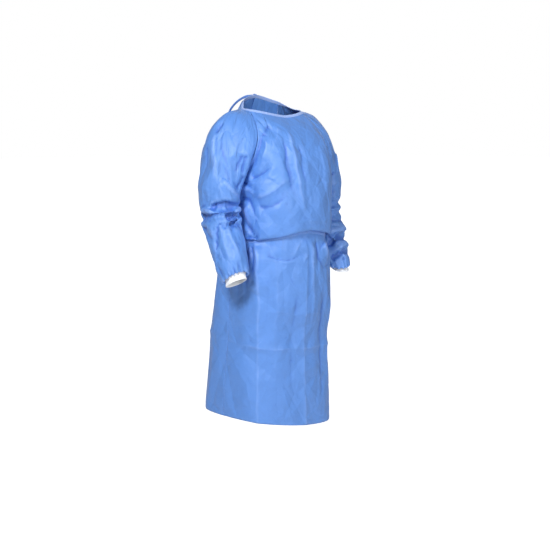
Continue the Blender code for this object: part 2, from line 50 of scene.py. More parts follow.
# Body rings from the hem up to the blouse over the waist tie and on to the underarm.
# The z columns are the ring's height at the centre front, the side seams and the centre back.
BODY_COLUMNS = ("z_front", "z_side", "z_back", "half_width", "side_y", "front_y", "back_y", "square")
BODY_RINGS = {
    "hem": (-1.101, -1.093, -1.076, 0.208, 0.018, -0.171, 0.208, 2.9),
    "calf": (-0.940, -0.930, -0.920, 0.202, 0.011, -0.171, 0.194, 2.8),
    "thigh": (-0.775, -0.770, -0.765, 0.192, 0.003, -0.171, 0.180, 2.7),
    "hand_level": (-0.680, -0.680, -0.678, 0.194, -0.001, -0.193, 0.166, 2.7),
    "hip": (-0.590, -0.597, -0.597, 0.193, -0.006, -0.197, 0.154, 2.6),
    "below_waist": (-0.480, -0.500, -0.503, 0.184, -0.013, -0.195, 0.138, 2.6),
    "tie_low": (-0.424, -0.457, -0.461, 0.171, -0.019, -0.188, 0.124, 2.5),
    "tie_high": (-0.404, -0.437, -0.441, 0.170, -0.019, -0.188, 0.124, 2.5),
    "lip": (-0.414, -0.446, -0.450, 0.177, -0.021, -0.203, 0.138, 2.6),
    "blouse": (-0.390, -0.416, -0.420, 0.178, -0.023, -0.211, 0.143, 2.7),
    "belly": (-0.345, -0.358, -0.362, 0.175, -0.023, -0.213, 0.142, 2.8),
    "ribs": (-0.302, -0.306, -0.310, 0.174, -0.022, -0.210, 0.138, 2.9),
    "underarm": (-0.260, -0.260, -0.262, 0.177, -0.020, -0.206, 0.135, 3.0),
}
# A row's height falls from its centre to its edge as this power of the way out
ROW_FALL = 1.5

# Yoke rows above the underarm, to the neckline: each is a ring's half cut off at its raglan seam.
YOKE_COLUMNS = ("z_centre", "z_seam", "half_width", "side_y", "depth_y", "square", "seam_y")
YOKE_FRONT = {
    "armpit": (-0.214, -0.206, 0.1765, -0.020, -0.201, 3.0, -0.072),
    "chest": (-0.168, -0.154, 0.1750, -0.019, -0.190, 3.0, -0.104),
    "upper_chest": (-0.120, -0.102, 0.1690, -0.015, -0.168, 2.9, -0.108),
    "collarbone": (-0.072, -0.052, 0.1540, -0.008, -0.130, 2.6, -0.080),
    "neckline": (-0.028, -0.008, 0.1270, 0.000, -0.081, 2.5, -0.034),
}
YOKE_BACK = {
    "armpit": (-0.206, -0.206, 0.1765, -0.018, 0.133, 2.9, 0.048),
    "blade": (-0.150, -0.152, 0.1730, -0.014, 0.128, 2.8, 0.084),
    "upper_back": (-0.092, -0.096, 0.1600, -0.008, 0.121, 2.6, 0.090),
    "nape": (-0.024, -0.036, 0.1350, 0.000, 0.105, 2.4, 0.076),
    "neckline": (0.044, 0.022, 0.1020, 0.000, 0.078, 2.4, 0.051),
}

# The sleeve cap between the raglan seams: points on the front, the top and the back of the shoulder,
# in the same rows as the yoke from the underarm to the neckline, on the left.
CAP_FRONT = (
    (0.243, -0.094, -0.262),
    (0.240, -0.096, -0.205),
    (0.228, -0.096, -0.146),
    (0.206, -0.083, -0.086),
    (0.168, -0.056, -0.034),
    (0.124, -0.019, -0.004),
)
CAP_TOP = (
    (0.309, -0.012, -0.262),
    (0.294, -0.006, -0.190),
    (0.278, 0.002, -0.122),
    (0.250, 0.004, -0.062),
    (0.199, 0.003, -0.016),
    (0.127, 0.002, 0.000),
)
CAP_BACK = (
    (0.243, 0.070, -0.262),
    (0.236, 0.074, -0.203),
    (0.222, 0.077, -0.141),
    (0.198, 0.073, -0.078),
    (0.152, 0.052, -0.031),
    (0.107, 0.028, 0.010),
)
# How far each yoke row of the sleeve still closes round the arm: 1 is a ring, 0 an open arch
YOKE_CLOSED = (1.0, 0.75, 0.4, 0.15, 0.0, 0.0)

# Sleeve rings from the cuff seam up to below the underarm, with the left sleeve's x and a lean each way.
SLEEVE_COLUMNS = ("x", "y", "z", "lean_out", "lean_front", "side_radius", "front_radius")
SLEEVE_RINGS = {
    "cuff_seam": (0.257, -0.1100, -0.5530, 4, 24, 0.0365, 0.0385),
    "gather": (0.257, -0.1040, -0.5400, 4, 24, 0.0460, 0.0480),
    "puff": (0.257, -0.0940, -0.5200, 4, 24, 0.0540, 0.0570),
    "wrist": (0.256, -0.0820, -0.4900, 4, 22, 0.0555, 0.0590),
    "forearm": (0.255, -0.0620, -0.4430, 4, 20, 0.0575, 0.0625),
    "below_elbow": (0.252, -0.0410, -0.4000, 4, 16, 0.0610, 0.0665),
    "lower_roll": (0.250, -0.0310, -0.3760, 3, 12, 0.0635, 0.0710),
    "lower_fold": (0.250, -0.0230, -0.3620, 3, 10, 0.0610, 0.0640),
    "middle_roll": (0.249, -0.0210, -0.3460, 2, 6, 0.0650, 0.0750),
    "upper_fold": (0.248, -0.0140, -0.3320, 2, 4, 0.0615, 0.0660),
    "upper_roll": (0.247, -0.0150, -0.3140, 1, 2, 0.0640, 0.0765),
    "upper_arm": (0.246, -0.0130, -0.2900, 0, 0, 0.0640, 0.0780),
}
CUFF_RINGS = {
    "turned_in": (0.257, -0.1103, -0.5536, 4, 24, 0.0362, 0.0382),
    "wrist": (0.258, -0.1150, -0.5660, 4, 24, 0.0340, 0.0360),
    "edge": (0.259, -0.1195, -0.5790, 4, 24, 0.0355, 0.0375),
}
# The right forearm reaches forward and its rings stand square to it. The left one's rings droop in front.
RING_LEANS = {RIGHT: (-1.0, -1.15), LEFT: (1.0, 1.0)}
# The left forearm is a little higher, less far forward and closer in.
LEFT_ARM_RAISE = 0.010
LEFT_ARM_BACK = 0.022
LEFT_ARM_IN = 0.006
UNDERARM_HEIGHT = -0.26
ARM_LENGTH_MOVED = 0.300

# The skirt hangs lower on the left: its drop for each metre of x, full at this depth below the waist
SKIRT_LEAN = 0.13
WAIST_HEIGHT = -0.45
LEAN_DEPTH = 0.30

# Closure at the back: the right panel lies over the left one
OVERLAP_NECK = 0.02
OVERLAP_HEM = 0.14
OVERLAP_POWER = 1.5
FLAP_LIFT = 0.0045
FLAP_RAMP = 0.10
FLAP_LIFTED_FROM = 0.05

# Ties, knots and binding, where the part has them
BINDING_WALL = 0.0026
NECK_KNOT = (0.003, 0.0874, 0.0495)
NECK_TAIL_RIGHT = (
    (-0.0078, 0.0876, 0.0490),
    (-0.0280, 0.0930, 0.0470),
    (-0.0550, 0.1080, 0.0310),
    (-0.0770, 0.1200, 0.0040),
    (-0.0880, 0.1300, -0.0300),
    (-0.0930, 0.1370, -0.0900),
    (-0.0940, 0.1410, -0.1700),
)
NECK_TAIL_LEFT = (
    (0.0150, 0.0876, 0.0490),
    (0.0280, 0.0970, 0.0400),
    (0.0360, 0.1170, 0.0000),
    (0.0400, 0.1270, -0.0500),
    (0.0430, 0.1340, -0.1200),
    (0.0450, 0.1380, -0.1900),
)
WAIST_KNOT = (0.0, 0.1370, -0.4660)
WAIST_END_RIGHT = (
    (-0.0088, 0.1376, -0.4744),
    (-0.0130, 0.1480, -0.5000),
    (-0.0150, 0.1570, -0.5400),
    (-0.0200, 0.1680, -0.6100),
    (-0.0230, 0.1790, -0.6900),
)
WAIST_END_LEFT = (
    (0.0088, 0.1376, -0.4740),
    (0.0180, 0.1480, -0.5000),
    (0.0240, 0.1570, -0.5400),
    (0.0300, 0.1700, -0.6200),
    (0.0330, 0.1830, -0.7200),
)
TIE_STATION = 6.0
TIE_CLEARANCE = 0.0009
TIE_WALL = 0.0012
TIE_DROP = 0.0015
WAIST_TIE_WIDTH = 0.014
NECK_TIE_WIDTH = 0.010

# Mesh spacing of the draft cloth, which is settled, and of the fine cloth, which shows
CURVE_SAMPLES = 220
ARCH_FULLNESS = 0.5
RING_FULLNESS = 0.83
SAMPLE_CROWDING = 1.3
YOKE_ROWS = 5
DRAFT = {"step": 0.0105, "yoke": 5, "cuff_end": 2, "front": 60, "back": 46, "sleeve": 42}
FINE = {"step": 0.0046, "yoke": 13, "cuff_end": 8, "front": 136, "back": 64, "sleeve": 90}
FRONT_GIRTH = 0.62
BACK_GIRTH = 0.48
SLEEVE_GIRTH = 0.42
# Extra columns beside a seam, this far from it
SEAM_COLUMNS = (0.0, 0.0015, 0.0030, 0.0050, 0.0080)
SHELL = 0.0006


def hermite(start, leave, end, arrive, f):
    """A cubic from start to end with the given tangents, at shares f of the way."""
    g = 1 - f
    return start * (1 + 2 * f) * g * g + leave * f * g * g + end * f * f * (3 - 2 * f) - arrive * f * f * g


def glide(rows, spacing, station):
    """Read a table at a station between its rows, on a smooth curve through every row."""
    rows = np.asarray(rows, dtype=float)
    spacing = np.asarray(spacing, dtype=float)[:, None]
    steps = np.diff(rows, axis=0) / spacing
    slopes = np.empty_like(rows)
    slopes[0] = steps[0]
    slopes[-1] = steps[-1]
    slopes[1:-1] = (spacing[1:] * steps[:-1] + spacing[:-1] * steps[1:]) / (spacing[:-1] + spacing[1:])
    index = min(int(station), len(rows) - 2)
    h = spacing[index, 0]
    return hermite(rows[index], slopes[index] * h, rows[index + 1], slopes[index + 1] * h, station - index)


def curve_at(values, places):
    """Values at fractional places along the first axis, on smooth curves through them."""
    places = np.asarray(places, dtype=float)
    last = len(values) - 1
    index = np.clip(places.astype(int), 0, last - 1)
    f = (places - index).reshape((-1,) + (1,) * (values.ndim - 1))
    start = values[index]
    end = values[index + 1]
    leave = (end - values[np.maximum(index - 1, 0)]) / 2
    arrive = (values[np.minimum(index + 2, last)] - start) / 2
    return hermite(start, leave, end, arrive, f)


def distances(rows):
    return np.linalg.norm(np.diff(np.asarray(rows, dtype=float), axis=0), axis=1)


def unit(vectors):
    return vectors / np.maximum(np.linalg.norm(vectors, axis=-1, keepdims=True), 1e-12)


def travel(points):
    """How far along a polyline each of its points is."""
    return np.concatenate([[0.0], np.cumsum(distances(points))])


def read_along(wanted, places, vectors):
    """Vectors that are known at some places of a path, read at the wanted ones."""
    return np.stack([np.interp(wanted, places, vectors[:, k]) for k in range(3)], axis=1)


def resample(points, fractions):
    """Points at the given fractions of a polyline's length."""
    travelled = travel(points)
    return read_along(np.asarray(fractions) * travelled[-1], travelled, points)


def smoothstep(value, low, high):
    share = np.clip((value - low) / (high - low), 0.0, 1.0)
    return share * share * (3 - 2 * share)


def half_tables(half):
    """The rows of a body half, hem to neckline, in the yoke's columns."""
    rows = []
    for values in BODY_RINGS.values():
        ring = dict(zip(BODY_COLUMNS, values))
        row = ("z_" + half, "z_side", "half_width", "side_y", half + "_y", "square", "side_y")
        rows.append(tuple(ring[column] for column in row))
    rows.extend((YOKE_FRONT if half == "front" else YOKE_BACK).values())
    return rows


UNDERARM = len(BODY_RINGS) - 1
HALF_ROWS = {half: half_tables(half) for half in ("front", "back")}


def row_values(half, station):
    """The yoke columns at a station; the seam turns a corner at the underarm."""
    rows = HALF_ROWS[half]
    spacing = distances([(row[0], row[4]) for row in rows])
    values = dict(zip(YOKE_COLUMNS, glide(rows, spacing, station)))
    if station <= UNDERARM:
        values["seam_y"] = values["side_y"]
        values["z_seam"] = glide(rows[: UNDERARM + 1], spacing[:UNDERARM], station)[1]
    else:
        seam = glide(rows[UNDERARM:], spacing[UNDERARM:], station - UNDERARM)
        values["seam_y"] = seam[6]
        values["z_seam"] = seam[1]
    return values


def half_row(side, half, station):
    """One row of a body half at a station, from its centre out to its side or raglan seam."""
    row = row_values(half, station)
    power = 2 / row["square"]
    depth = row["depth_y"] - row["side_y"]
    cut = np.arccos(np.clip((row["seam_y"] - row["side_y"]) / depth, 0.0, 1.0) ** (1 / power))
    turn = np.linspace(0.0, 1.0, CURVE_SAMPLES) ** SAMPLE_CROWDING * cut
    reach = np.sin(turn) ** power
    x = side * row["half_width"] * reach
    y = row["side_y"] + depth * np.cos(turn).clip(0.0) ** power
    z = row["z_centre"] + (row["z_seam"] - row["z_centre"]) * (reach / reach[-1]) ** ROW_FALL
    lean = np.clip((WAIST_HEIGHT - z) / LEAN_DEPTH, 0.0, 1.0)
    z = z - x * SKIRT_LEAN * lean * lean * (3 - 2 * lean)
    return np.stack([x, y, z], axis=1)


def full_row(half, station):
    """A whole row from the right seam across the centre to the left seam."""
    right = half_row(RIGHT, half, station)
    left = half_row(LEFT, half, station)
    return np.concatenate([right[::-1], left[1:]])


def split_stations(spacing, step, first_split=2):
    """Stations along a table, about one step apart, and closer together in its first gap."""
    stations = []
    for index, length in enumerate(spacing):
        count = max(first_split if index == 0 else 2, int(round(length / step)))
        stations.extend(index + k / count for k in range(count))
    return stations


def yoke_stations(first, mesh):
    return [first + k / mesh["yoke"] for k in range(YOKE_ROWS * mesh["yoke"] + 1)]


def body_stations(mesh):
    rows = HALF_ROWS["front"][: UNDERARM + 1]
    lower = split_stations(distances([(row[0], row[4]) for row in rows]), mesh["step"])
    return np.array(lower + yoke_stations(UNDERARM, mesh))


def crowded(count, girth, seams=(True, True)):
    """Fractions across a sheet, with extra columns beside its seams."""
    near = np.array(SEAM_COLUMNS) / girth
    first = near if seams[0] else near[:1]
    last = near if seams[1] else near[:1]
    middle = np.linspace(first[-1], 1 - last[-1], count + 1)
    return np.concatenate([first[:-1], middle, 1 - last[:-1][::-1]])


def body_form(half, stations, fractions):
    """A body half's plain form: its points, and how far across from the centre line each one is."""
    rows = np.broadcast_to(fractions, (len(stations), np.shape(fractions)[-1]))
    points, across = [], []
    for station, row in zip(stations, rows):
        line = full_row(half, station)
        points.append(resample(line, row))
        across.append((row - 0.5) * travel(line)[-1])
    return np.array(points), np.array(across)


def arm_shift(side, z):
    """The left forearm's change of place, growing from the elbow down."""
    if side == RIGHT:
        return np.zeros(3)
    share = np.clip((UNDERARM_HEIGHT - z) / ARM_LENGTH_MOVED, 0.0, 1.0)
    return np.array([-LEFT_ARM_IN, LEFT_ARM_BACK, LEFT_ARM_RAISE]) * share


def ring_controls(side, values):
    """Inner, front, outer, back and inner points of a sleeve ring."""
    ring = dict(zip(SLEEVE_COLUMNS, values))
    out_share, front_share = RING_LEANS[side]
    lean_out = np.radians(ring["lean_out"] * out_share)
    lean_front = np.radians(ring["lean_front"] * front_share)
    outward = np.array([np.cos(lean_out), 0.0, np.sin(lean_out)])
    forward = np.array([0.0, -np.cos(lean_front), -np.sin(lean_front)])
    centre = np.array([ring["x"], ring["y"], ring["z"]]) + arm_shift(side, ring["z"])
    p = ring["side_radius"] * outward
    q = ring["front_radius"] * forward
    points = np.array([centre - p, centre + q, centre + p, centre - q, centre - p])
    points[:, 0] *= side
    return points


def arm_controls(side, rings):
    return [ring_controls(side, values) for values in rings.values()]


def yoke_controls(side):
    """Front seam, front, top, back and back seam of the sleeve cap in each yoke row."""
    rows = []
    for index, points in enumerate(zip(CAP_FRONT, CAP_TOP, CAP_BACK)):
        front = half_row(LEFT, "front", UNDERARM + index)[-1]
        back = half_row(LEFT, "back", UNDERARM + index)[-1]
        rows.append(np.array([front, *points, back]) * (side, 1, 1))
    return rows


def round_row(controls, closed, fractions):
    """A row round the arm through five points; closed is 1 for a ring and falls to 0 for an open arch."""
    fullness = ARCH_FULLNESS + (RING_FULLNESS - ARCH_FULLNESS) * closed
    tangents = np.empty_like(controls)
    tangents[1:-1] = (controls[2:] - controls[:-2]) * fullness
    ring_tangent = (controls[1] - controls[-2]) * fullness
    tangents[0] = closed * ring_tangent + (1 - closed) * (controls[1] - controls[0])
    tangents[-1] = closed * ring_tangent + (1 - closed) * (controls[-1] - controls[-2])
    f = np.linspace(0.0, 1.0, CURVE_SAMPLES // 4, endpoint=False)[:, None]
    spans = zip(controls, tangents, controls[1:], tangents[1:])
    pieces = [hermite(start, leave, end, arrive, f) for start, leave, end, arrive in spans]
    return resample(np.concatenate(pieces + [controls[-1:]]), fractions)


def sleeve_rows(side):
    """The sleeve's control rows from the cuff seam to the neckline, and the spacing between them."""
    controls = np.array(arm_controls(side, SLEEVE_RINGS) + yoke_controls(side))
    return controls, distances([row[2] for row in controls])


RINGS = len(SLEEVE_RINGS)


def sleeve_stations(side, mesh):
    spacing = sleeve_rows(side)[1]
    lower = split_stations(spacing[:RINGS], mesh["step"], mesh["cuff_end"])
    return np.array(lower + yoke_stations(RINGS, mesh))


def sleeve_form(side, stations, fractions):
    """A sleeve's plain form: columns run round the arm from the underarm by the front."""
    controls, spacing = sleeve_rows(side)
    closed = [(1.0,)] * RINGS + [(value,) for value in YOKE_CLOSED]
    flat = controls.reshape(len(controls), -1)
    rows = []
    for station in stations:
        row = glide(flat, spacing, station).reshape(5, 3)
        if station < RINGS:
            seam = glide(flat[: RINGS + 1], spacing[:RINGS], station).reshape(5, 3)
            row[0] = seam[0]
            row[-1] = seam[-1]
        else:
            row[0] = half_row(side, "front", UNDERARM + station - RINGS)[-1]
            row[-1] = half_row(side, "back", UNDERARM + station - RINGS)[-1]
        share = glide(closed, spacing, station)[0]
        rows.append(round_row(row, float(np.clip(share, 0.0, 1.0)), fractions))
    return np.array(rows)


def grid_normals(grid, outward_sign):
    """Unit normals of a grid, turned outwards by the sign."""
    return unit(np.cross(np.gradient(grid, axis=1), np.gradient(grid, axis=0)) * outward_sign)


def ring_normals(grid, rings, outward_sign):
    """The same for a sleeve, whose first rows close round the arm at the underarm."""
    normals = grid_normals(grid, outward_sign)
    across = grid[:rings, 1] - grid[:rings, -2]
    seam = unit(np.cross(across, np.gradient(grid[:rings, 0], axis=0)) * outward_sign)
    normals[:rings, 0] = seam
    normals[:rings, -1] = seam
    return normals


# Folds, in millimetres: how far the cloth stands in (-) or out (+), half width, and path.
# A body fold's path goes across from the centre line, towards the gown's left, and by height.
# A sleeve fold's path goes round the arm, in thousandths of a turn from the underarm by the front, and by
# height.
FRONT_FOLDS = {
    "raglan_valley": (-9, 12, ((-165, -85), (-200, -150), (-240, -200), (-285, -245))),
    "valley_shoulder": (6, 12, ((-140, -100), (-172, -160), (-212, -215))),
    "armpit_drag": (-8, 7, ((-290, -248), (-250, -258), (-205, -280))),
    "armpit_drag_low": (6, 10, ((-280, -272), (-235, -278), (-190, -300))),
    "inner_edge": (-9, 10, ((-285, -298), (-240, -314), (-214, -360), (-206, -400))),
    "inner_roll": (7, 14, ((-265, -330), (-245, -375), (-240, -410))),
    "chest_trough": (-8.1, 20, ((-100, -45), (-150, -90), (-178, -130), (-184, -165))),
    "chest_ridge": (5.4, 18, ((-80, -60), (-112, -110), (-138, -150))),
    "long_ridge": (9, 16, ((-50, -65), (-60, -140), (-57, -210), (-38, -310), (-10, -405))),
    "long_trough": (-9, 15, ((-78, -90), (-88, -180), (-82, -240), (-62, -320))),
    "long_trough_right": (-6, 16, ((-26, -120), (-30, -200), (-12, -300))),
    "belly_rise": (7.5, 15, ((-212, -300), (-150, -272), (-85, -238), (-50, -215))),
    "belly_rise_under": (-5, 17, ((-208, -338), (-140, -316), (-60, -282))),
    "armpit_fan": (-7, 10, ((-232, -236), (-185, -215), (-130, -182))),
    "left_ridge": (3, 30, ((75, -110), (85, -200), (80, -330))),
    "left_drag": (-6, 10, ((290, -250), (240, -262), (190, -290))),
    "left_drag_upper": (-5, 11, ((270, -225), (220, -190), (170, -140))),
    "left_diagonal": (5, 11, ((250, -235), (200, -210), (150, -170))),
    "left_inner": (-6, 12, ((290, -300), (240, -330), (215, -390))),
    "gather_high": (-8, 7, ((-196, -440), (-230, -412), (-262, -372))),
    "gather_middle": (-7, 6, ((-198, -442), (-240, -428), (-290, -405))),
    "gather_ridge": (6, 8, ((-205, -434), (-245, -412), (-285, -385))),
    "gather_low": (-6, 6, ((-205, -446), (-250, -440), (-295, -438))),
    "skirt_pleat_one": (-9, 9, ((-208, -452), (-214, -510), (-216, -600))),
    "skirt_pleat_ridge": (7, 9, ((-192, -446), (-195, -500), (-197, -570))),
    "skirt_pleat_two": (-7, 10, ((-236, -455), (-240, -530), (-246, -640))),
    "skirt_pleat_soft": (6, 13, ((-224, -455), (-228, -530), (-232, -660))),
    "skirt_pleat_side": (-6, 14, ((-270, -460), (-275, -560), (-280, -700))),
    "tie_drag": (-4, 5, ((-165, -496), (-115, -506), (-70, -506), (10, -494))),
    "tie_spread": (4, 10, ((-10, -440), (-50, -470), (-85, -520))),
    "crease_dimple": (4.5, 7, ((-18, -510), (-10, -517))),
    "light_strip": (4.8, 13, ((22, -430), (22, -520), (26, -640), (34, -800))),
    "strip_edge": (-4, 10, ((44, -440), (50, -520), (58, -600))),
    "scallop": (-5, 10, ((44, -445), (56, -510), (88, -548), (130, -550), (170, -522))),
    "scallop_belly": (9, 22, ((85, -470), (105, -510), (135, -500))),
    "left_pleat": (-7, 12, ((205, -450), (215, -530), (225, -650))),
    "left_pleat_ridge": (6, 14, ((235, -455), (245, -540), (250, -680))),
    "left_side_pleat": (-6, 14, ((275, -460), (285, -560), (290, -720))),
    "skirt_fall_left": (-8, 26, ((85, -620), (100, -800), (112, -1130))),
    "skirt_fall_edge": (7, 24, ((140, -640), (155, -850), (165, -1130))),
    "panel_fall_one": (3.2, 26, ((-125, -540), (-120, -800), (-128, -1120))),
    "panel_fall_two": (-3.4, 26, ((-52, -600), (-50, -850), (-60, -1120))),
}
BACK_FOLDS = {
    "blade_right": (-6, 12, ((-160, -100), (-180, -160), (-225, -220))),
    "blade_left": (-6, 12, ((150, -90), (175, -150), (225, -215))),
    "drag_right": (6, 12, ((-215, -240), (-160, -230), (-100, -200))),
    "drag_left": (5, 12, ((215, -245), (150, -240), (90, -205))),
    "fall_one": (-5.6, 17, ((-120, -130), (-130, -250), (-120, -370))),
    "fall_two": (5.6, 19, ((-85, -100), (-92, -230), (-75, -390))),
    "fall_three": (-4.8, 17, ((-45, -160), (-50, -280), (-35, -400))),
    "fall_four": (-4.8, 18, ((105, -120), (115, -260), (100, -390))),
    "fall_five": (4.8, 19, ((145, -160), (160, -280), (145, -400))),
    "gather_one": (-9, 8, ((-20, -450), (-50, -420), (-80, -350))),
    "gather_two": (-8, 8, ((30, -448), (55, -410), (70, -350))),
    "gather_three": (-7, 9, ((-100, -452), (-115, -420), (-140, -380))),
    "gather_four": (6, 10, ((110, -440), (120, -400), (140, -360))),
    "gather_five": (-7, 9, ((165, -448), (180, -420), (190, -370))),
    "gather_six": (-6, 9, ((-175, -448), (-185, -410), (-200, -370))),
    "skirt_one": (-7, 19, ((-60, -465), (-70, -600), (-78, -800))),
    "skirt_two": (5.6, 24, ((-100, -465), (-112, -620), (-122, -900))),
    "skirt_three": (-6.3, 21, ((-150, -465), (-165, -600), (-175, -760))),
    "skirt_four": (-6.3, 21, ((50, -465), (62, -600), (70, -850))),
    "skirt_five": (5.6, 26, ((100, -465), (115, -640), (125, -920))),
    "skirt_six": (-5.6, 21, ((160, -465), (175, -600), (190, -740))),
    "hem_one": (4.8, 36, ((-50, -820), (-48, -950), (-45, -1090))),
    "hem_two": (-4.2, 34, ((20, -840), (22, -950), (20, -1090))),
    "hem_three": (4.2, 36, ((190, -800), (205, -950), (215, -1090))),
    "hem_four": (-4.2, 34, ((-200, -820), (-210, -950), (-220, -1090))),
}
RIGHT_SLEEVE_FOLDS = {
    "shoulder_tuck": (-7, 8, ((400, -42), (430, -78), (445, -96))),
    "pressed_upper": (10, 20, ((440, -70), (420, -120), (385, -200), (345, -300), (330, -330))),
    "behind_pressed": (-4, 22, ((520, -110), (490, -180), (470, -270))),
    "inner_dark": (-9, 12, ((110, -150), (140, -190), (170, -245))),
    "dent_high": (-4.5, 8, ((150, -150), (200, -190), (260, -215))),
    "dent_low": (-6, 9, ((130, -225), (200, -255), (270, -272))),
    "light_diagonal": (8, 10, ((340, -236), (260, -268), (170, -305))),
    "elbow_first": (-16.9, 9, ((470, -338), (400, -322), (330, -312), (220, -316), (120, -312))),
    "elbow_second": (-18.2, 8, ((680, -345), (560, -356), (470, -357), (390, -346), (320, -333))),
    "elbow_roll": (9, 10, ((560, -338), (440, -342), (340, -326))),
    "elbow_third": (-15.6, 8, ((330, -346), (230, -352), (100, -350))),
    "elbow_knuckle": (9, 11, ((260, -334), (160, -334), (80, -330))),
    "elbow_fourth": (-14.3, 8, ((300, -376), (215, -368), (120, -356))),
    "outer_notch": (-10, 8, ((640, -398), (560, -403), (500, -392))),
    "outer_bulge": (5, 12, ((660, -378), (560, -380))),
    "pressed_lower": (6, 12, ((330, -372), (310, -420), (270, -475), (235, -535))),
    "gather_one": (-4.4, 6, ((250, -545), (270, -520), (300, -500))),
    "gather_two": (-3.9, 5, ((340, -548), (350, -525), (380, -512))),
    "gather_three": (-4.4, 6, ((160, -545), (155, -515), (140, -490))),
    "gather_four": (-3.9, 5, ((430, -546), (440, -528))),
    "gather_five": (-3.9, 5, ((520, -540), (520, -515))),
    "gather_six": (-3.9, 6, ((620, -535), (610, -505))),
    "gather_seven": (-3.9, 6, ((740, -530), (750, -500))),
    "gather_eight": (-3.9, 6, ((860, -530), (850, -500))),
    "gather_nine": (-3.9, 6, ((60, -540), (55, -510))),
    "gather_ridge": (3.3, 7, ((205, -540), (215, -500))),
    "back_elbow": (-10, 10, ((900, -318), (800, -330), (700, -322))),
    "back_elbow_two": (-10, 10, ((930, -362), (830, -372), (720, -362))),
    "back_drag": (-6, 12, ((850, -120), (800, -190), (800, -260))),
    "back_ridge": (6, 14, ((700, -100), (690, -180), (720, -270))),
}
LEFT_SLEEVE_FOLDS = {
    "front_drag": (-9, 10, ((60, -265), (140, -240), (240, -205))),
    "front_drag_two": (-10, 10, ((60, -318), (160, -300), (280, -282))),
    "front_roll": (6, 14, ((80, -285), (180, -262), (290, -240))),
    "elbow_drag": (-8, 10, ((80, -370), (180, -350), (300, -335))),
    "puff_first": (-10, 9, ((40, -405), (180, -396), (340, -392), (500, -398), (640, -404))),
    "puff_roll": (16.3, 13, ((80, -442), (240, -428), (400, -426), (560, -432))),
    "puff_second": (-12, 9, ((60, -484), (200, -462), (380, -462), (540, -470))),
    "puff_roll_two": (11.2, 11, ((120, -500), (260, -488), (420, -490), (560, -496))),
    "puff_third": (-10, 8, ((80, -530), (240, -512), (400, -516), (560, -520))),
    "shoulder_tuck": (-5, 9, ((420, -60), (440, -100))),
    "pressed_upper": (7, 12, ((460, -110), (410, -180), (380, -260), (360, -320))),
    "front_fall": (-7, 12, ((200, -90), (180, -150), (150, -210))),
    "upper_ridge": (6, 12, ((290, -150), (230, -200), (180, -250))),
    "gather_one": (-3.9, 6, ((230, -540), (240, -520))),
    "gather_two": (-3.9, 6, ((330, -540), (330, -520))),
    "gather_three": (-3.9, 6, ((130, -535), (120, -510))),
    "gather_four": (-3.9, 6, ((440, -535), (450, -515))),
    "gather_five": (-3.9, 6, ((560, -530), (560, -500))),
    "gather_six": (-3.9, 6, ((680, -525), (690, -495))),
    "gather_seven": (-3.9, 6, ((800, -520), (810, -490))),
    "gather_eight": (-3.9, 6, ((920, -525), (910, -500))),
    "back_elbow": (-10, 10, ((920, -312), (810, -325), (690, -318))),
    "back_elbow_two": (-10, 10, ((900, -355), (800, -365), (690, -352))),
    "back_forearm": (-8, 12, ((620, -410), (740, -425), (860, -412))),
    "back_drag": (-6, 12, ((840, -130), (790, -200), (810, -260))),
    "back_ridge": (6, 14, ((690, -110), (700, -190), (730, -280))),
}
# The gown came out of its packet folded, and the creases stay: sharp low ridges, on the front and the back.
FRONT_CREASES = {
    "quarter_right_facet": (6, 30, ((-192, -440), (-196, -558), (-177, -782), (-184, -1110))),
    "centre_facet": (5, 26, ((-7, -440), (-10, -652), (4, -850), (16, -1130))),
    "quarter_left_facet": (6, 30, ((190, -440), (186, -700), (190, -1150))),
    "across_low_facet": (3, 24, ((-240, -802), (-179, -813), (20, -826), (240, -835))),
    "quarter_right": (1.7, 7, ((-206, -290), (-189, -446), (-198, -558), (-177, -782), (-184, -1110))),
    "quarter_left": (1.7, 7, ((194, -200), (190, -450), (186, -700), (190, -1150))),
    "centre_chest": (1.6, 7, ((-4, -60), (-2, -300), (-4, -410))),
    "centre": (1.8, 5, ((-5, -425), (-10, -652), (4, -850), (16, -1130))),
    "across_high": (1.4, 5, ((-172, -503), (-90, -516), (-10, -524), (60, -520))),
    "across_middle": (1.4, 6, ((-180, -682), (-113, -686), (-31, -705), (70, -706))),
    "across_low": (1.8, 6, ((-320, -790), (-179, -813), (20, -826), (79, -832), (310, -838))),
    "across_chest": (1.2, 6, ((-210, -246), (-60, -250), (80, -252), (200, -248))),
}
BACK_CREASES = {
    "quarter_right_facet": (5.5, 30, ((-146, -460), (-150, -800), (-156, -1090))),
    "quarter_left_facet": (5.5, 30, ((146, -460), (150, -820), (156, -1120))),
    "across_low_facet": (3.5, 24, ((-230, -782), (-80, -796), (70, -806), (235, -824))),
    "quarter_right": (1.8, 7, ((-150, -120), (-146, -450), (-150, -800), (-156, -1090))),
    "quarter_left": (1.8, 7, ((150, -130), (146, -450), (150, -820), (156, -1120))),
    "across_low": (1.7, 5, ((-230, -782), (-80, -796), (70, -806), (235, -824))),
    "across_high": (1.4, 6, ((-180, -560), (0, -572), (170, -580))),
}
# A fold starts narrow and deep, and fans out and fades towards its end, over these shares of its length.
# It is steep on one side and gentle on the other.
FOLD_FADE = (0.14, 0.60)
FOLD_FAN = (0.60, 1.35)
FOLD_POWER = 1.3
# A fold's crisp line and its flat sides reach this many widths, and the line has this share of the depth
LINE_FOOT = 0.9
SIDE_FOOT = 4.2
LINE_SHARE = 0.35
CREASE_FADE = (0.06, 0.06)
CRUMPLE_FADE = (0.4, 0.4)
CREASE_POWER = 1.8
STEEP_SIDE = 0.50
GENTLE_SIDE = 1.45
# Fold lines wander from their paths by these waves: size, wavelength and direction in degrees
WANDER = ((0.0036, 0.170, 20.0), (0.0015, 0.075, 75.0))
# The wave by height is this much quicker than the one across
WANDER_QUICKER = 1.3
CREASE_WANDER = 0.4
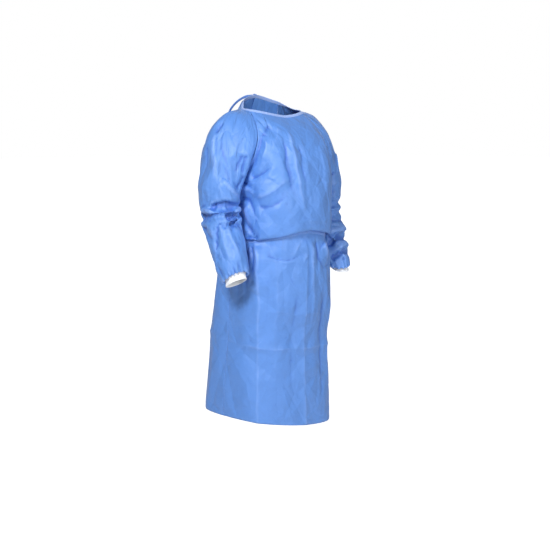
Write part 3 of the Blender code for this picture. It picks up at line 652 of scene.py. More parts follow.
# How much of a fold's depth the draft cloth starts with, and how much is pressed in after it has settled
DRAFT_SHARE = 0.30
PRESSED_SHARE = 0.75
SLEEVE_PRESSED_SHARE = 0.95


def wandered(across, height, share):
    """Places moved aside by slow waves, so that the fold lines on them aren't ruled."""
    aside = np.zeros_like(across)
    down = np.zeros_like(height)
    for size, length, angle in WANDER:
        way = np.radians(angle)
        phase = 2 * np.pi * (across * np.cos(way) + height * np.sin(way)) / length
        aside = aside + share * size * np.sin(phase + angle)
        down = down + share * size * np.cos(WANDER_QUICKER * phase)
    return across + aside, height + down


def fold_field(across, height, folds, power, fades, evenness=0.0):
    """The depth that a table of folds gives at each point; an even fold is as steep on both its sides."""
    across, height = wandered(across, height, 1 + (CREASE_WANDER - 1) * evenness)
    depth = np.zeros_like(across)
    steep = STEEP_SIDE + (1 - STEEP_SIDE) * evenness
    gentle = GENTLE_SIDE + (1 - GENTLE_SIDE) * evenness
    for fold_depth, width, path in folds.values():
        points = np.array(path)
        lengths = distances(points)
        travelled = travel(points)
        best = np.full(across.shape, np.inf)
        place = np.zeros_like(across)
        left = np.zeros(across.shape, dtype=bool)
        for index, length in enumerate(lengths):
            way = (points[index + 1] - points[index]) / length
            dx = across - points[index, 0]
            dz = height - points[index, 1]
            along = np.clip(dx * way[0] + dz * way[1], 0.0, length)
            gap = np.hypot(dx - along * way[0], dz - along * way[1])
            nearer = gap < best
            best = np.where(nearer, gap, best)
            place = np.where(nearer, travelled[index] + along, place)
            left = np.where(nearer, way[0] * dz - way[1] * dx > 0, left)
        share = place / travelled[-1]
        fade = smoothstep(share, 0.0, fades[0]) * smoothstep(1 - share, 0.0, fades[1])
        fan = FOLD_FAN[0] + (FOLD_FAN[1] - FOLD_FAN[0]) * share
        reach = width * (fan + (1 - fan) * evenness) * np.where(left, gentle, steep)
        line = np.clip(1 - best / (LINE_FOOT * reach), 0.0, 1.0)
        sides = np.clip(1 - best / (SIDE_FOOT * reach), 0.0, 1.0) ** power
        depth += fold_depth * fade * (LINE_SHARE * line + (1 - LINE_SHARE) * sides)
    return depth


# Fine crumples: short low creases at random over the whole cloth, with a fixed seed for each sheet
CRUMPLE_COLUMNS = ("seed", "count", "across", "height")
CRUMPLES = {
    "front": (11, 150, (-0.31, 0.31), (-1.12, -0.06)),
    "back": (12, 120, (-0.24, 0.24), (-1.10, 0.0)),
    "right": (13, 90, (0.0, SLEEVE_GIRTH), (-0.54, -0.02)),
    "left": (14, 90, (0.0, SLEEVE_GIRTH), (-0.54, -0.02)),
}
CRUMPLE_HALF_LENGTH = (0.008, 0.034)
CRUMPLE_DEPTH = (0.0004, 0.0014)
CRUMPLE_WIDTH = (0.0025, 0.0065)
CRUMPLE_BEND = (-0.25, 0.25)


def crumples(name):
    """A table of short random creases, each bent a little in its middle."""
    row = dict(zip(CRUMPLE_COLUMNS, CRUMPLES[name]))
    draw = np.random.default_rng(row["seed"])
    table = {}
    for number in range(row["count"]):
        centre = np.array([draw.uniform(*row["across"]), draw.uniform(*row["height"])])
        turn = draw.uniform(0.0, np.pi)
        way = np.array([np.cos(turn), np.sin(turn)]) * draw.uniform(*CRUMPLE_HALF_LENGTH)
        bend = np.array([-way[1], way[0]]) * draw.uniform(*CRUMPLE_BEND)
        depth = draw.choice((-1.0, 1.0)) * draw.uniform(*CRUMPLE_DEPTH)
        table[number] = (depth, draw.uniform(*CRUMPLE_WIDTH), (centre - way, centre + bend, centre + way))
    return table


def in_metres(table, turn=1.0):
    """A table of folds with its millimetres made metres; a turn is how far the way round is."""
    rows = {}
    for name, (depth, width, path) in table.items():
        points = tuple((round(x / 1000, 6) * turn, round(z / 1000, 6)) for x, z in path)
        rows[name] = (round(depth / 1000, 6), round(width / 1000, 6), points)
    return rows


FOLDS = {
    "front": in_metres(FRONT_FOLDS),
    "back": in_metres(BACK_FOLDS),
    "right": in_metres(RIGHT_SLEEVE_FOLDS, SLEEVE_GIRTH),
    "left": in_metres(LEFT_SLEEVE_FOLDS, SLEEVE_GIRTH),
}
CREASES = {"front": in_metres(FRONT_CREASES), "back": in_metres(BACK_CREASES)}


def main_folds(name, across, height):
    return fold_field(across, height, FOLDS[name], FOLD_POWER, FOLD_FADE)


def fine_folds(name, across, height):
    depth = fold_field(across, height, crumples(name), CREASE_POWER, CRUMPLE_FADE)
    return depth + fold_field(across, height, CREASES.get(name, {}), CREASE_POWER, CREASE_FADE, 1.0)


def draft_form(name):
    """The plain form of one draft sheet, and its normals, places across and stations."""
    if name in ("front", "back"):
        stations = body_stations(DRAFT)
        grid, across = body_form(name, stations, np.linspace(0.0, 1.0, DRAFT[name] + 1))
        return grid, grid_normals(grid, 1 if name == "front" else -1), across, stations
    side = RIGHT if name == "right" else LEFT
    stations = sleeve_stations(side, DRAFT)
    fractions = np.linspace(0.0, 1.0, DRAFT["sleeve"] + 1)
    grid = sleeve_form(side, stations, fractions)
    rings = int(np.sum(stations < RINGS))
    across = np.tile(fractions * SLEEVE_GIRTH, (len(grid), 1))
    return grid, ring_normals(grid, rings, side), across, stations


SHEETS = ("front", "back", "right", "left")


def ring_rows(grid):
    """How many of a draft sleeve's rows, from the cuff seam, close round the arm."""
    return len(grid) - (YOKE_ROWS * DRAFT["yoke"] + 1)


def numbered(grid):
    """The number of each point of a grid."""
    return np.arange(grid.shape[0] * grid.shape[1]).reshape(grid.shape[:2])


def weld_seams(sheets):
    """Point numbers of every sheet in one mesh, shared along the sewn seams, and the shared points."""
    underarm_row = ring_rows(sheets["front"])
    numbers = {}
    count = 0
    for name, grid in sheets.items():
        numbers[name] = numbered(grid) + count
        count += numbers[name].size
    front, back = numbers["front"], numbers["back"]
    back[: underarm_row + 1, 0] = front[: underarm_row + 1, 0]
    back[: underarm_row + 1, -1] = front[: underarm_row + 1, -1]
    for name, column in (("right", 0), ("left", -1)):
        arm = numbers[name]
        rings = ring_rows(arm)
        arm[:rings, -1] = arm[:rings, 0]
        arm[rings:, 0] = front[underarm_row:, column]
        arm[rings:, -1] = back[underarm_row:, column]
    used, compact = np.unique(np.concatenate([n.ravel() for n in numbers.values()]), return_inverse=True)
    points = np.zeros((len(used), 3))
    share = np.zeros(len(used))
    start = 0
    for name, grid in sheets.items():
        size = grid.shape[0] * grid.shape[1]
        index = compact[start : start + size]
        numbers[name] = index.reshape(grid.shape[:2])
        np.add.at(points, index, grid.reshape(-1, 3))
        np.add.at(share, index, 1.0)
        start += size
    return numbers, points / share[:, None]


def grid_quads(numbers):
    a = numbers[:-1, :-1].ravel()
    b = numbers[:-1, 1:].ravel()
    c = numbers[1:, 1:].ravel()
    d = numbers[1:, :-1].ravel()
    return np.stack([a, b, c, d], axis=1)


# Settling: how much longer the cut cloth is than its worn form, and how firmly each part keeps its place
EXTRA_ROUND = 0.030
EXTRA_DOWN = 0.022
SETTLE_FRAMES = 24
KEEP_SKIRT = 0.03
KEEP_SLEEVE = 0.06
KEEP_CHEST = 0.10
KEEP_SHOULDER = 0.40
# The shoulder keeps its place from this many rows above the underarm
KEEP_SHOULDER_FROM = 0.5
CLOTH_SETTINGS = {
    "quality": 5,
    "mass": 0.02,
    "tension_stiffness": 12,
    "compression_stiffness": 12,
    "shear_stiffness": 6,
    "bending_stiffness": 0.02,
    "tension_damping": 8,
    "compression_damping": 8,
    "shear_damping": 8,
    "bending_damping": 0.5,
    "air_damping": 4,
    "vertex_group_mass": "keep",
    "pin_stiffness": 1.0,
}
# The furthest that the settling moves a point from its plain form
FURTHEST_MOVE = 0.016
SETTLED_SLEEVE = 1.0
SETTLED_YOKE = 0.50
SETTLED_SKIRT = 0.22
# Over how many rows the shares change, about the tie and down from the top of the arm
SKIRT_CHANGE = (-0.5, 1.5)
ARM_CHANGE = (0.0, 2.0)
UNDERARM_CALM = 0.85
UNDERARM_CALM_REACH = 0.14
SLEEVE_EXTRA_ROUND = 0.03
SLEEVE_EXTRA_DOWN = 0.03
SLEEVE_EXTRA_FROM = -0.20
SLEEVE_EXTRA_CHANGE = (0.0, 1.5)


def keep_weights(forms, numbers, count):
    """1 where a point stays, at the neck, the waist tie and the cuff seams, and little elsewhere."""
    weights = np.full(count, KEEP_SKIRT)
    for name in SHEETS:
        grid, _, _, stations = forms[name]
        body = name in ("front", "back")
        yoke_from = UNDERARM if body else RINGS
        loose = np.where(stations < TIE_STATION, KEEP_SKIRT, KEEP_CHEST) if body else KEEP_SLEEVE
        share = smoothstep(stations - yoke_from, KEEP_SHOULDER_FROM, YOKE_ROWS)
        rows = loose + (KEEP_SHOULDER - loose) * share
        if body:
            rows[(stations >= TIE_STATION) & (stations <= TIE_STATION + 1)] = 1.0
        else:
            rows[0] = 1.0
        rows[-1] = 1.0
        columns = np.repeat(rows, grid.shape[1])
        np.maximum.at(weights, numbers[name].ravel(), columns)
    return weights


def fuller_sleeve(points, stations):
    """A sleeve's cut form, longer and wider still below the underarm, so that it bunches on the arm."""
    loose = smoothstep(RINGS - stations, *SLEEVE_EXTRA_CHANGE)[:, None, None]
    middles = points.mean(axis=1, keepdims=True)
    wider = points + (points - middles) * SLEEVE_EXTRA_ROUND * loose
    longer = np.minimum(points[:, :, 2] - SLEEVE_EXTRA_FROM, 0.0) * SLEEVE_EXTRA_DOWN
    wider[:, :, 2] += longer * loose[:, :, 0]
    return wider


def settle(forms, sheets):
    """Lets the sewn cloth, cut a little fuller than its form, buckle and hang."""
    numbers, points = weld_seams(sheets)
    mesh = bpy.data.meshes.new("draft_cloth")
    faces = np.concatenate([grid_quads(n) for n in numbers.values()])
    mesh.from_pydata(points.tolist(), [], faces.tolist())
    item = bpy.data.objects.new("draft_cloth", mesh)
    bpy.context.scene.collection.objects.link(item)
    group = item.vertex_groups.new(name="keep")
    weights = np.round(keep_weights(forms, numbers, len(points)), 2)
    for value in np.unique(weights):
        group.add(np.nonzero(weights == value)[0].tolist(), float(value), "REPLACE")
    item.shape_key_add(name="worn")
    cut = item.shape_key_add(name="cut")
    fuller = points * (1 + EXTRA_ROUND, 1 + EXTRA_ROUND, 1 + EXTRA_DOWN)
    for name, (_, _, _, stations) in forms.items():
        if name in ("right", "left"):
            fuller[numbers[name]] = fuller_sleeve(fuller[numbers[name]], stations)
    cut.data.foreach_set("co", fuller.ravel())
    cut.value = 0.0
    cloth = item.modifiers.new("cloth", "CLOTH")
    for setting, value in CLOTH_SETTINGS.items():
        setattr(cloth.settings, setting, value)
    cloth.settings.rest_shape_key = cut
    cloth.collision_settings.use_collision = False
    cloth.point_cache.frame_end = SETTLE_FRAMES
    scene = bpy.context.scene
    for step in range(1, SETTLE_FRAMES + 1):
        scene.frame_set(step)
    evaluated = item.evaluated_get(bpy.context.evaluated_depsgraph_get())
    settled = np.empty(len(points) * 3)
    evaluated.data.vertices.foreach_get("co", settled)
    settled = settled.reshape(-1, 3)
    scene.frame_set(1)
    bpy.data.objects.remove(item)
    return {name: settled[index] for name, index in numbers.items()}


def settled_share(stations, body):
    """How much of the settling each row takes: most on the sleeves, little on the flat pressed skirt."""
    if body:
        skirt = smoothstep(TIE_STATION - stations, *SKIRT_CHANGE)
        return SETTLED_YOKE + (SETTLED_SKIRT - SETTLED_YOKE) * skirt
    arm = smoothstep(RINGS - stations, *ARM_CHANGE)
    return SETTLED_YOKE + (SETTLED_SLEEVE - SETTLED_YOKE) * arm


def seam_calm(stations, columns):
    """1 on most of a sleeve and little beside its underarm seam, where the draft cloth tangles."""
    arm = smoothstep(RINGS - stations, *ARM_CHANGE)[:, None]
    places = np.linspace(0.0, 1.0, columns)
    beside = 1 - smoothstep(np.minimum(places, 1 - places), 0.0, UNDERARM_CALM_REACH)
    return 1 - UNDERARM_CALM * arm * beside


def draft_moves():
    """How far each draft point ends up from the plain form, and the stations of its rows."""
    forms = {name: draft_form(name) for name in SHEETS}
    sheets = {}
    for name, (grid, normals, across, _) in forms.items():
        depth = main_folds(name, across, grid[:, :, 2]) * DRAFT_SHARE
        if name in ("right", "left"):
            rings = ring_rows(grid)
            depth[:rings, -1] = depth[:rings, 0]
        sheets[name] = grid + depth[:, :, None] * normals
    settled = settle(forms, sheets)
    moves = {}
    for name, (grid, _, _, stations) in forms.items():
        body = name in ("front", "back")
        calm = 1.0 if body else seam_calm(stations, grid.shape[1])[:, :, None]
        trust = settled_share(stations, body)[:, None, None] * calm
        move = sheets[name] + (settled[name] - sheets[name]) * trust - grid
        length = np.linalg.norm(move, axis=2, keepdims=True)
        moves[name] = (move * np.minimum(1.0, FURTHEST_MOVE * calm / np.maximum(length, 1e-9)), stations)
    return moves


def carry(moves, stations, fractions):
    """The draft cloth's moves read at the fine cloth's rows and columns."""
    move, draft_stations = moves
    rows = curve_at(move, np.interp(stations, draft_stations, np.arange(len(draft_stations))))
    places = np.broadcast_to(fractions, (len(stations), np.shape(fractions)[-1])) * (move.shape[1] - 1)
    return np.array([curve_at(row, place) for row, place in zip(rows, places)])


# What happens beside a seam, in metres: no folds, the seam's dip, and puckers beyond the stitched strip
SEAM_HOLD = 0.010
SEAM_DIP = 0.0012
SEAM_DIP_WIDTH = 0.0022
STITCHED_STRIP = 0.004
PUCKER = 0.0008
PUCKER_REACH = 0.010
PUCKER_PITCH = 0.017
PUCKER_DRIFT = 0.071
PUCKER_SWAY = 1.7
# How many rows from the neck and the tie the folds fade, and what stays of them under the tie
NECK_HOLD = 0.4
TIE_HOLD = (0.5, 1.1)
TIE_LEAST = 0.12
# The sleeve's end hangs over its cuff, in metres, by uneven shares: even, and waves of these sizes
OVERHANG = 0.017
OVERHANG_OUT = 0.0045
OVERHANG_PLACE = 0.0085
OVERHANG_SHARES = (0.82, 0.18, 0.10)
OVERHANG_WAVES = 2
OVERHANG_PHASE = 0.6
# Gathers into the cuff, with a slower sway that makes them uneven
GATHERS = 17
GATHER_DEPTH = 0.0020
GATHER_REACH = 0.017
GATHER_START = 0.006
GATHER_SWAY = 1.9
GATHER_SWAYS = 3
# The sleeve's way down at its end is read over this many rows
END_ROWS = 4


def seam_detail(gap, height):
    """The seam's own dip, and the small puckers that its stitches draw up beside it."""
    phase = 2 * np.pi * height / PUCKER_PITCH + PUCKER_SWAY * np.sin(2 * np.pi * height / PUCKER_DRIFT)
    pucker = PUCKER * np.sin(phase) * np.exp(-gap / PUCKER_REACH) * smoothstep(gap, 0.0, STITCHED_STRIP)
    return pucker - SEAM_DIP * np.exp(-((gap / SEAM_DIP_WIDTH) ** 2))


def finished(name, points, form, across, stations, normals_of):
    """What the later steps read of one fine sheet."""
    return {
        "name": name,
        "points": points,
        "normals": normals_of(points),
        "form": form,
        "form_normals": normals_of(form),
        "across": across,
        "stations": stations,
    }


def body_cloth(name, half, moves, fractions, stations, seams, lifted=False):
    """One fine body panel: its form, the draft's moves, and then its folds pressed in."""
    sign = 1 if half == "front" else -1
    form, across = body_form(half, stations, fractions)
    points = form + carry(moves[half], stations, fractions)
    normals = grid_normals(points, sign)
    height = form[:, :, 2]
    girth = np.abs(across / np.where(np.abs(fractions - 0.5) < 1e-9, np.inf, fractions - 0.5)).max(axis=1)
    gap = np.minimum(
        np.broadcast_to(fractions, across.shape) if seams[0] else 1.0,
        1 - np.broadcast_to(fractions, across.shape) if seams[1] else 1.0,
    )
    gap = gap * girth[:, None]
    tie = smoothstep(np.abs(stations - TIE_STATION - 0.5), *TIE_HOLD)
    neck = smoothstep(stations[-1] - stations, 0.0, NECK_HOLD)
    hold = ((TIE_LEAST + (1 - TIE_LEAST) * tie) * neck)[:, None] * smoothstep(gap, 0.0, SEAM_HOLD)
    depth = main_folds(half, across, height) * PRESSED_SHARE + fine_folds(half, across, height)
    depth = depth * hold + seam_detail(gap, height)
    if lifted:
        rise = smoothstep(form[:, :, 0], -FLAP_RAMP - FLAP_LIFTED_FROM, -FLAP_LIFTED_FROM)
        depth = depth + rise * FLAP_LIFT
    points = points + depth[:, :, None] * normals
    return finished(name, points, form, across, stations, lambda grid: grid_normals(grid, sign))


def overlap(stations):
    """How much of the back's girth both panels cover, from hem to neck."""
    share = stations / stations[-1]
    return OVERLAP_HEM + (OVERLAP_NECK - OVERLAP_HEM) * share**OVERLAP_POWER


def sleeve_cloth(side, moves):
    """One fine sleeve, gathered into its cuff and hanging a little over it."""
    short = "right" if side == RIGHT else "left"
    stations = sleeve_stations(side, FINE)
    rings = int(np.sum(stations < RINGS))
    fractions = crowded(FINE["sleeve"], SLEEVE_GIRTH)
    form = sleeve_form(side, stations, fractions)
    points = form + carry(moves[short], stations, fractions)
    normals = ring_normals(points, rings, side)
    across = np.tile(fractions * SLEEVE_GIRTH, (len(form), 1))
    height = form[:, :, 2]
    gap = np.minimum(across, SLEEVE_GIRTH - across)
    neck = smoothstep(stations[-1] - stations, 0.0, NECK_HOLD)
    depth = main_folds(short, across, height) * SLEEVE_PRESSED_SHARE + fine_folds(short, across, height)
    depth = depth * smoothstep(gap, 0.0, SEAM_HOLD) * neck[:, None] + seam_detail(gap, height)
    middles = form.mean(axis=1)
    from_cuff = travel(middles)
    turn = 2 * np.pi * GATHERS * fractions + GATHER_SWAY * np.sin(2 * np.pi * GATHER_SWAYS * fractions + side)
    gather = GATHER_DEPTH * np.exp(-from_cuff / GATHER_REACH) * smoothstep(from_cuff, 0.0, GATHER_START)
    depth = depth + gather[:, None] * np.sin(turn)[None, :]
    over = from_cuff / OVERHANG_PLACE * np.exp(1 - from_cuff / OVERHANG_PLACE)
    even, wave, ripple = OVERHANG_SHARES
    slow = np.sin(2 * np.pi * OVERHANG_WAVES * fractions + OVERHANG_PHASE)
    uneven = even + wave * slow + ripple * np.sin(turn)
    droop = over[:, None] * uneven[None, :]
    points = points + (depth + OVERHANG_OUT * droop)[:, :, None] * normals
    points = points + (OVERHANG * droop)[:, :, None] * unit(middles[0] - middles[END_ROWS])
    return finished(
        "sleeve_" + short, points, form, across, stations, lambda grid: ring_normals(grid, rings, side)
    )


def all_cloth():
    moves = draft_moves()
    stations = body_stations(FINE)
    cover = overlap(stations)
    columns = crowded(FINE["back"], BACK_GIRTH / 2, (True, False))
    right = columns[None, :] * (0.5 + cover / 2)[:, None]
    left = 1 - columns[None, ::-1] * (1 - (0.5 - cover / 2))[:, None]
    front = crowded(FINE["front"], FRONT_GIRTH)
    cloths = [
        body_cloth("front_panel", "front", moves, front, stations, (True, True)),
        body_cloth("back_panel_right", "back", moves, right, stations, (True, False), lifted=True),
        body_cloth("back_panel_left", "back", moves, left, stations, (False, True)),
        sleeve_cloth(RIGHT, moves),
        sleeve_cloth(LEFT, moves),
    ]
    return {cloth["name"]: cloth for cloth in cloths}


# A sleeve stays this far outside the body where the two press on each other, and looks this far for it
ARM_CLEARANCE = 0.0025
ARM_SEARCH = 0.03
# The nearest face has to face the point by this share, and away from the body, unlike the tuck at the waist
FACING_SHARE = 0.75


def surface_tree(cloth):
    points = cloth["points"]
    return BVHTree.FromPolygons(points.reshape(-1, 3).tolist(), grid_quads(numbered(points)).tolist()), cloth


def keep_clear(arm, bodies):
    """Moves a sleeve's points out of the body panels, leaving the sewn rows alone."""
    points = arm["points"]
    loose = arm["stations"] < RINGS - 1
    for tree, body in bodies:
        normals = body["normals"].reshape(-1, 3)
        columns = body["points"].shape[1] - 1
        for row in np.nonzero(loose)[0]:
            for column in range(points.shape[1]):
                point = Vector(points[row, column])
                near, _, face, reach = tree.find_nearest(point, ARM_SEARCH)
                if near is None:
                    continue
                corner = (face // columns) * (columns + 1) + face % columns
                outward = Vector(normals[corner])
                height = (point - near).dot(outward)
                facing = abs(height) > FACING_SHARE * reach and outward.x * point.x > 0
                if facing and height < ARM_CLEARANCE:
                    points[row, column] = np.array(point + outward * (ARM_CLEARANCE - height))


# A hollow's depth is judged from neighbours this many rows and columns away, with the depth that counts as 1
HOLLOW_SCALES = ((1, 0.0018), (3, 0.0070), (8, 0.0170))


def hollows(cloth):
    """1 in a deep trough, 0 on plain cloth and -1 on a sharp ridge, beside the plain form's own roundness;
    the cloth's colour takes its painted shade and painted highlight from it.
    """
    total = np.zeros(cloth["points"].shape[:2])
    for reach, full in HOLLOW_SCALES:
        behind = []
        for points, normals in ((cloth["points"], cloth["normals"]), (cloth["form"], cloth["form_normals"])):
            padded = np.pad(points, ((reach, reach), (reach, reach), (0, 0)), "reflect", reflect_type="odd")
            inner = slice(reach, -reach)
            mean = padded[: -2 * reach, inner] + padded[2 * reach :, inner]
            mean = (mean + padded[inner, : -2 * reach] + padded[inner, 2 * reach :]) / 4
            behind.append(np.sum((mean - points) * normals, axis=2))
        total += (behind[0] - behind[1]) / full
    return np.clip(total, -1.0, 1.0)


def grid_mesh(name, points, faces, uv, values=None):
    """A smooth mesh with its cloth coordinates, and with how hollow it is where that is given."""
    mesh = bpy.data.meshes.new("visible_" + name)
    mesh.from_pydata(points.reshape(-1, 3).tolist(), [], faces)
    corners = np.empty(len(mesh.loops), dtype=np.int32)
    mesh.loops.foreach_get("vertex_index", corners)
    layer = mesh.uv_layers.new(name="cloth_metres")
    layer.data.foreach_set("uv", uv.reshape(-1, 2)[corners].ravel())
    if values is not None:
        mesh.attributes.new("hollow", "FLOAT", "POINT").data.foreach_set("value", values.ravel())
    mesh.shade_smooth()
    return mesh


def place_piece(name, mesh, material, node=None):
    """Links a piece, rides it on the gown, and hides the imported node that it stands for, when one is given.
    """
    mesh.materials.append(material)
    item = bpy.data.objects.new(name, mesh)
    bpy.context.scene.collection.objects.link(item)
    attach(item, BODY)
    if node:
        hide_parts(node)
    return item


def cloth_piece(cloth, material):
    """A sheet as a thin shell, whose outer face is the settled and folded cloth."""
    points = cloth["points"]
    quads = grid_quads(numbered(points))
    # A point well inside the sheet shows which way the quads face
    k = 5
    facing = np.cross(points[k, k + 1] - points[k, k], points[k + 1, k] - points[k, k])
    if np.dot(cloth["normals"][k, k], facing) < 0:
        quads = quads[:, ::-1]
    steps = np.linalg.norm(np.diff(points, axis=0), axis=2)
    down = np.concatenate([np.zeros((1, points.shape[1])), np.cumsum(steps, axis=0)])
    uv = np.stack([cloth["across"], down], axis=2)
    mesh = grid_mesh(cloth["name"], points, quads.tolist(), uv, hollows(cloth))
    item = place_piece("cloth_" + cloth["name"], mesh, material, cloth["name"])
    shell = item.modifiers.new("shell", "SOLIDIFY")
    shell.thickness = SHELL
    shell.offset = -1.0
    return item


# The knit cuff: ribs round it, rows down it, and a wall that turns over at its edge
RIBS = 54
RIB_POINTS = 4
RIB_DEPTH = 0.0005
KNIT_WALL = 0.0022
KNIT_ROWS = 15
KNIT_EDGE_ROWS = 5
# A cuff's cut: its way round and its length
CUFF_CUT = (0.23, 0.030)


def cuff_piece(side, material):
    """A ribbed tube whose outer and inner walls meet in a rounded edge."""
    controls = np.array(arm_controls(side, CUFF_RINGS))
    spacing = distances([row[2] for row in controls])
    flat = controls.reshape(len(controls), -1)
    fractions = np.linspace(0.0, 1.0, RIBS * RIB_POINTS + 1)
    stations = np.linspace(0.0, len(controls) - 1.0, KNIT_ROWS)
    rows = [glide(flat, spacing, station).reshape(5, 3) for station in stations]
    outer = np.array([round_row(row, 1.0, fractions)[:-1] for row in rows])
    middles = outer.mean(axis=1, keepdims=True)
    away = unit(outer - middles)
    ribs = RIB_DEPTH * np.cos(2 * np.pi * RIBS * fractions[:-1])
    inner = outer - KNIT_WALL * away
    outer = outer + ribs[None, :, None] * away
    inner = inner + ribs[None, :, None] * away
    axis = unit(middles[-1] - middles[-2])
    turned = []
    for turn in np.linspace(0.0, np.pi, KNIT_EDGE_ROWS + 2)[1:-1]:
        middle = (outer[-1] + inner[-1]) / 2
        turned.append(middle + (outer[-1] - middle) * np.cos(turn) + axis * np.sin(turn) * KNIT_WALL / 2)
    loop = np.concatenate([outer, np.array(turned), inner[::-1]])
    numbers = numbered(loop)
    numbers = np.concatenate([numbers, numbers[:1]])
    numbers = np.concatenate([numbers, numbers[:, :1]], axis=1)
    quads = grid_quads(numbers)
    if side == RIGHT:
        quads = quads[:, ::-1]
    uv = np.zeros((*loop.shape[:2], 2))
    uv[:, :, 0] = fractions[:-1][None, :] * CUFF_CUT[0]
    uv[:, :, 1] = travel(loop[:, 0])[:, None]
    name = "cuff_right" if side == RIGHT else "cuff_left"
    mesh = grid_mesh(name, loop, quads.tolist(), uv)
    return place_piece("knit_" + name, mesh, material, name)


# A tie's section: flat, thinner along its middle, with rounded folded edges
SECTION_POINTS = 14
SECTION_SQUARE = 0.45
TAPE_HOLLOW = 0.35


def tape_section(width, thickness):
    turn = np.linspace(0.0, 2 * np.pi, SECTION_POINTS, endpoint=False)
    out = np.sign(np.cos(turn)) * np.abs(np.cos(turn)) ** SECTION_SQUARE
    up = np.sign(np.sin(turn)) * np.abs(np.sin(turn)) ** SECTION_SQUARE
    return out * width / 2, up * thickness / 2 * (1 - TAPE_HOLLOW * (1 - out * out))


# A tape's width wavers a little along it: two wavelengths, and how far the longer one sways the shorter one
WAVER = (0.021, 0.057)
WAVER_SWAY = 1.3


def tape_piece(name, node, middle, across, outward, width, thickness, material, limp, closed=False):
    """A strip of tape along a path, with its ends cut square, or joined when it is closed."""
    across = unit(across)
    outward = unit(outward - across * np.sum(across * outward, axis=1, keepdims=True))
    run = travel(middle)
    wave = 1 + limp * np.sin(2 * np.pi * run / WAVER[0] + WAVER_SWAY * np.sin(2 * np.pi * run / WAVER[1]))
    out, up = tape_section(width, thickness)
    loop = middle[:, None] + across[:, None] * (out[None, :, None] * wave[:, None, None])
    loop = loop + outward[:, None] * up[None, :, None]
    numbers = numbered(loop)
    wrapped = np.concatenate([numbers, numbers[:, :1]], axis=1)
    if closed:
        wrapped = np.concatenate([wrapped, wrapped[:1]])
    step = -1 if np.dot(np.cross(across[0], outward[0]), middle[1] - middle[0]) > 0 else 1
    faces = grid_quads(wrapped)[:, ::step].tolist()
    if not closed:
        faces.extend([numbers[0, ::-step].tolist(), numbers[-1, ::step].tolist()])
    uv = np.stack(np.broadcast_arrays(out[None, :], run[:, None]), axis=2)
    return place_piece(name, grid_mesh(name, loop, faces, uv), material, node)


def tie_piece(node, middle, across, outward, width, limp, material):
    """A strip of tie tape."""
    item = tape_piece("tape_" + node, node, middle, across, outward, width, TIE_WALL, material, limp)


def evened(values, rounds):
    """Evens out a path, keeping its ends."""
    values = values.copy()
    for _ in range(rounds):
        values[1:-1] = (values[:-2] + 2 * values[1:-1] + values[2:]) / 4
    return values


def curve_through(points, count):
    points = np.array(points, dtype=float)
    spacing = distances(points)
    line = np.array([glide(points, spacing, s) for s in np.linspace(0, len(points) - 1, count * 3)])
    return resample(line, np.linspace(0.0, 1.0, count))


# Points of the neck's edge closer than this are one, where two sheets meet
EDGE_STEP = 0.002
EDGE_EVENING = 2
EDGE_TURN_EVENING = 6
# The sheets round the neck, and which way along each one the edge runs
NECK_SHEETS = {
    "back_panel_right": -1,
    "sleeve_right": -1,
    "front_panel": 1,
    "sleeve_left": 1,
    "back_panel_left": -1,
}


def neck_edge(cloths):
    """The neckline of the joined sheets, from the right flap's free edge round to the left flap's."""
    edge, rise, outward = [], [], []
    for name, way in NECK_SHEETS.items():
        form, normals = cloths[name]["form"], cloths[name]["form_normals"]
        edge.append((form[-1] - SHELL / 2 * normals[-1])[::way])
        rise.append(unit(form[-1] - form[-2])[::way])
        outward.append(normals[-1][::way])
    edge, rise, outward = (np.concatenate(part) for part in (edge, rise, outward))
    kept = [0]
    for index in range(1, len(edge)):
        if np.linalg.norm(edge[index] - edge[kept[-1]]) > EDGE_STEP:
            kept.append(index)
    return (
        evened(edge[kept], EDGE_EVENING),
        evened(rise[kept], EDGE_TURN_EVENING),
        evened(outward[kept], EDGE_TURN_EVENING),
    )


# The binding laps the neck's edge and stands above it, with a slight ripple: its size and its wavelength
BINDING_LAP = 0.0022
BINDING_TOP = 0.0099
BINDING_RIPPLE = (0.0004, 0.013)
BINDING_LIMP = 0.02
BINDING_STITCHES = 0.0008


def neck_binding(cloths, material):
    """Adds the binding, and gives the line that its stitches follow."""
    edge, rise, outward = neck_edge(cloths)
    rise = unit(rise)
    size, length = BINDING_RIPPLE
    ripple = size * np.sin(travel(edge) * 2 * np.pi / length)[:, None] * unit(outward)
    middle = edge + rise * (BINDING_TOP - BINDING_LAP) / 2 + ripple
    width = BINDING_TOP + BINDING_LAP
    item = tape_piece(
        "binding_neck", "neck_binding", middle, rise, outward, width, BINDING_WALL, material, BINDING_LIMP
    )
    return edge + unit(outward) * (BINDING_WALL / 2) + rise * BINDING_STITCHES, outward


# A hanging tie looks for the cloth from this far behind itself, over this length
BEHIND = 0.12
BEHIND_REACH = 0.2
HANGING_EVENING = 3


def laid_outside(points, trees, clearance, free):
    """Moves a hanging tie's points out of the cloth behind them, apart from its first points."""
    points = points.copy()
    for index in range(free, len(points)):
        start = Vector(points[index]) + Vector((0.0, BEHIND, 0.0))
        for tree, _ in trees:
            hit = tree.ray_cast(start, Vector((0.0, -1.0, 0.0)), BEHIND_REACH)[0]
            if hit is not None:
                points[index, 1] = max(points[index, 1], hit.y + clearance)
    points[free:] = evened(points[free - 1 :], HANGING_EVENING)[1:]
    return points


# A knot's tape follows a trefoil of this span and depth, and its flat side bulges out from the middle
KNOT_TURNS = 150
KNOT_LIFT = 0.9
TREFOIL_SPAN = 6
TREFOIL_DEPTH = 2.2
KNOT_BULGE = 0.6
KNOT_WALL = 0.0022
KNOT_COLUMNS = ("centre", "width", "height", "depth", "tape")
KNOTS = {
    "neck": (NECK_KNOT, 0.020, 0.014, 0.012, 0.0052),
    "waist": (WAIST_KNOT, 0.027, 0.020, 0.014, 0.0075),
}


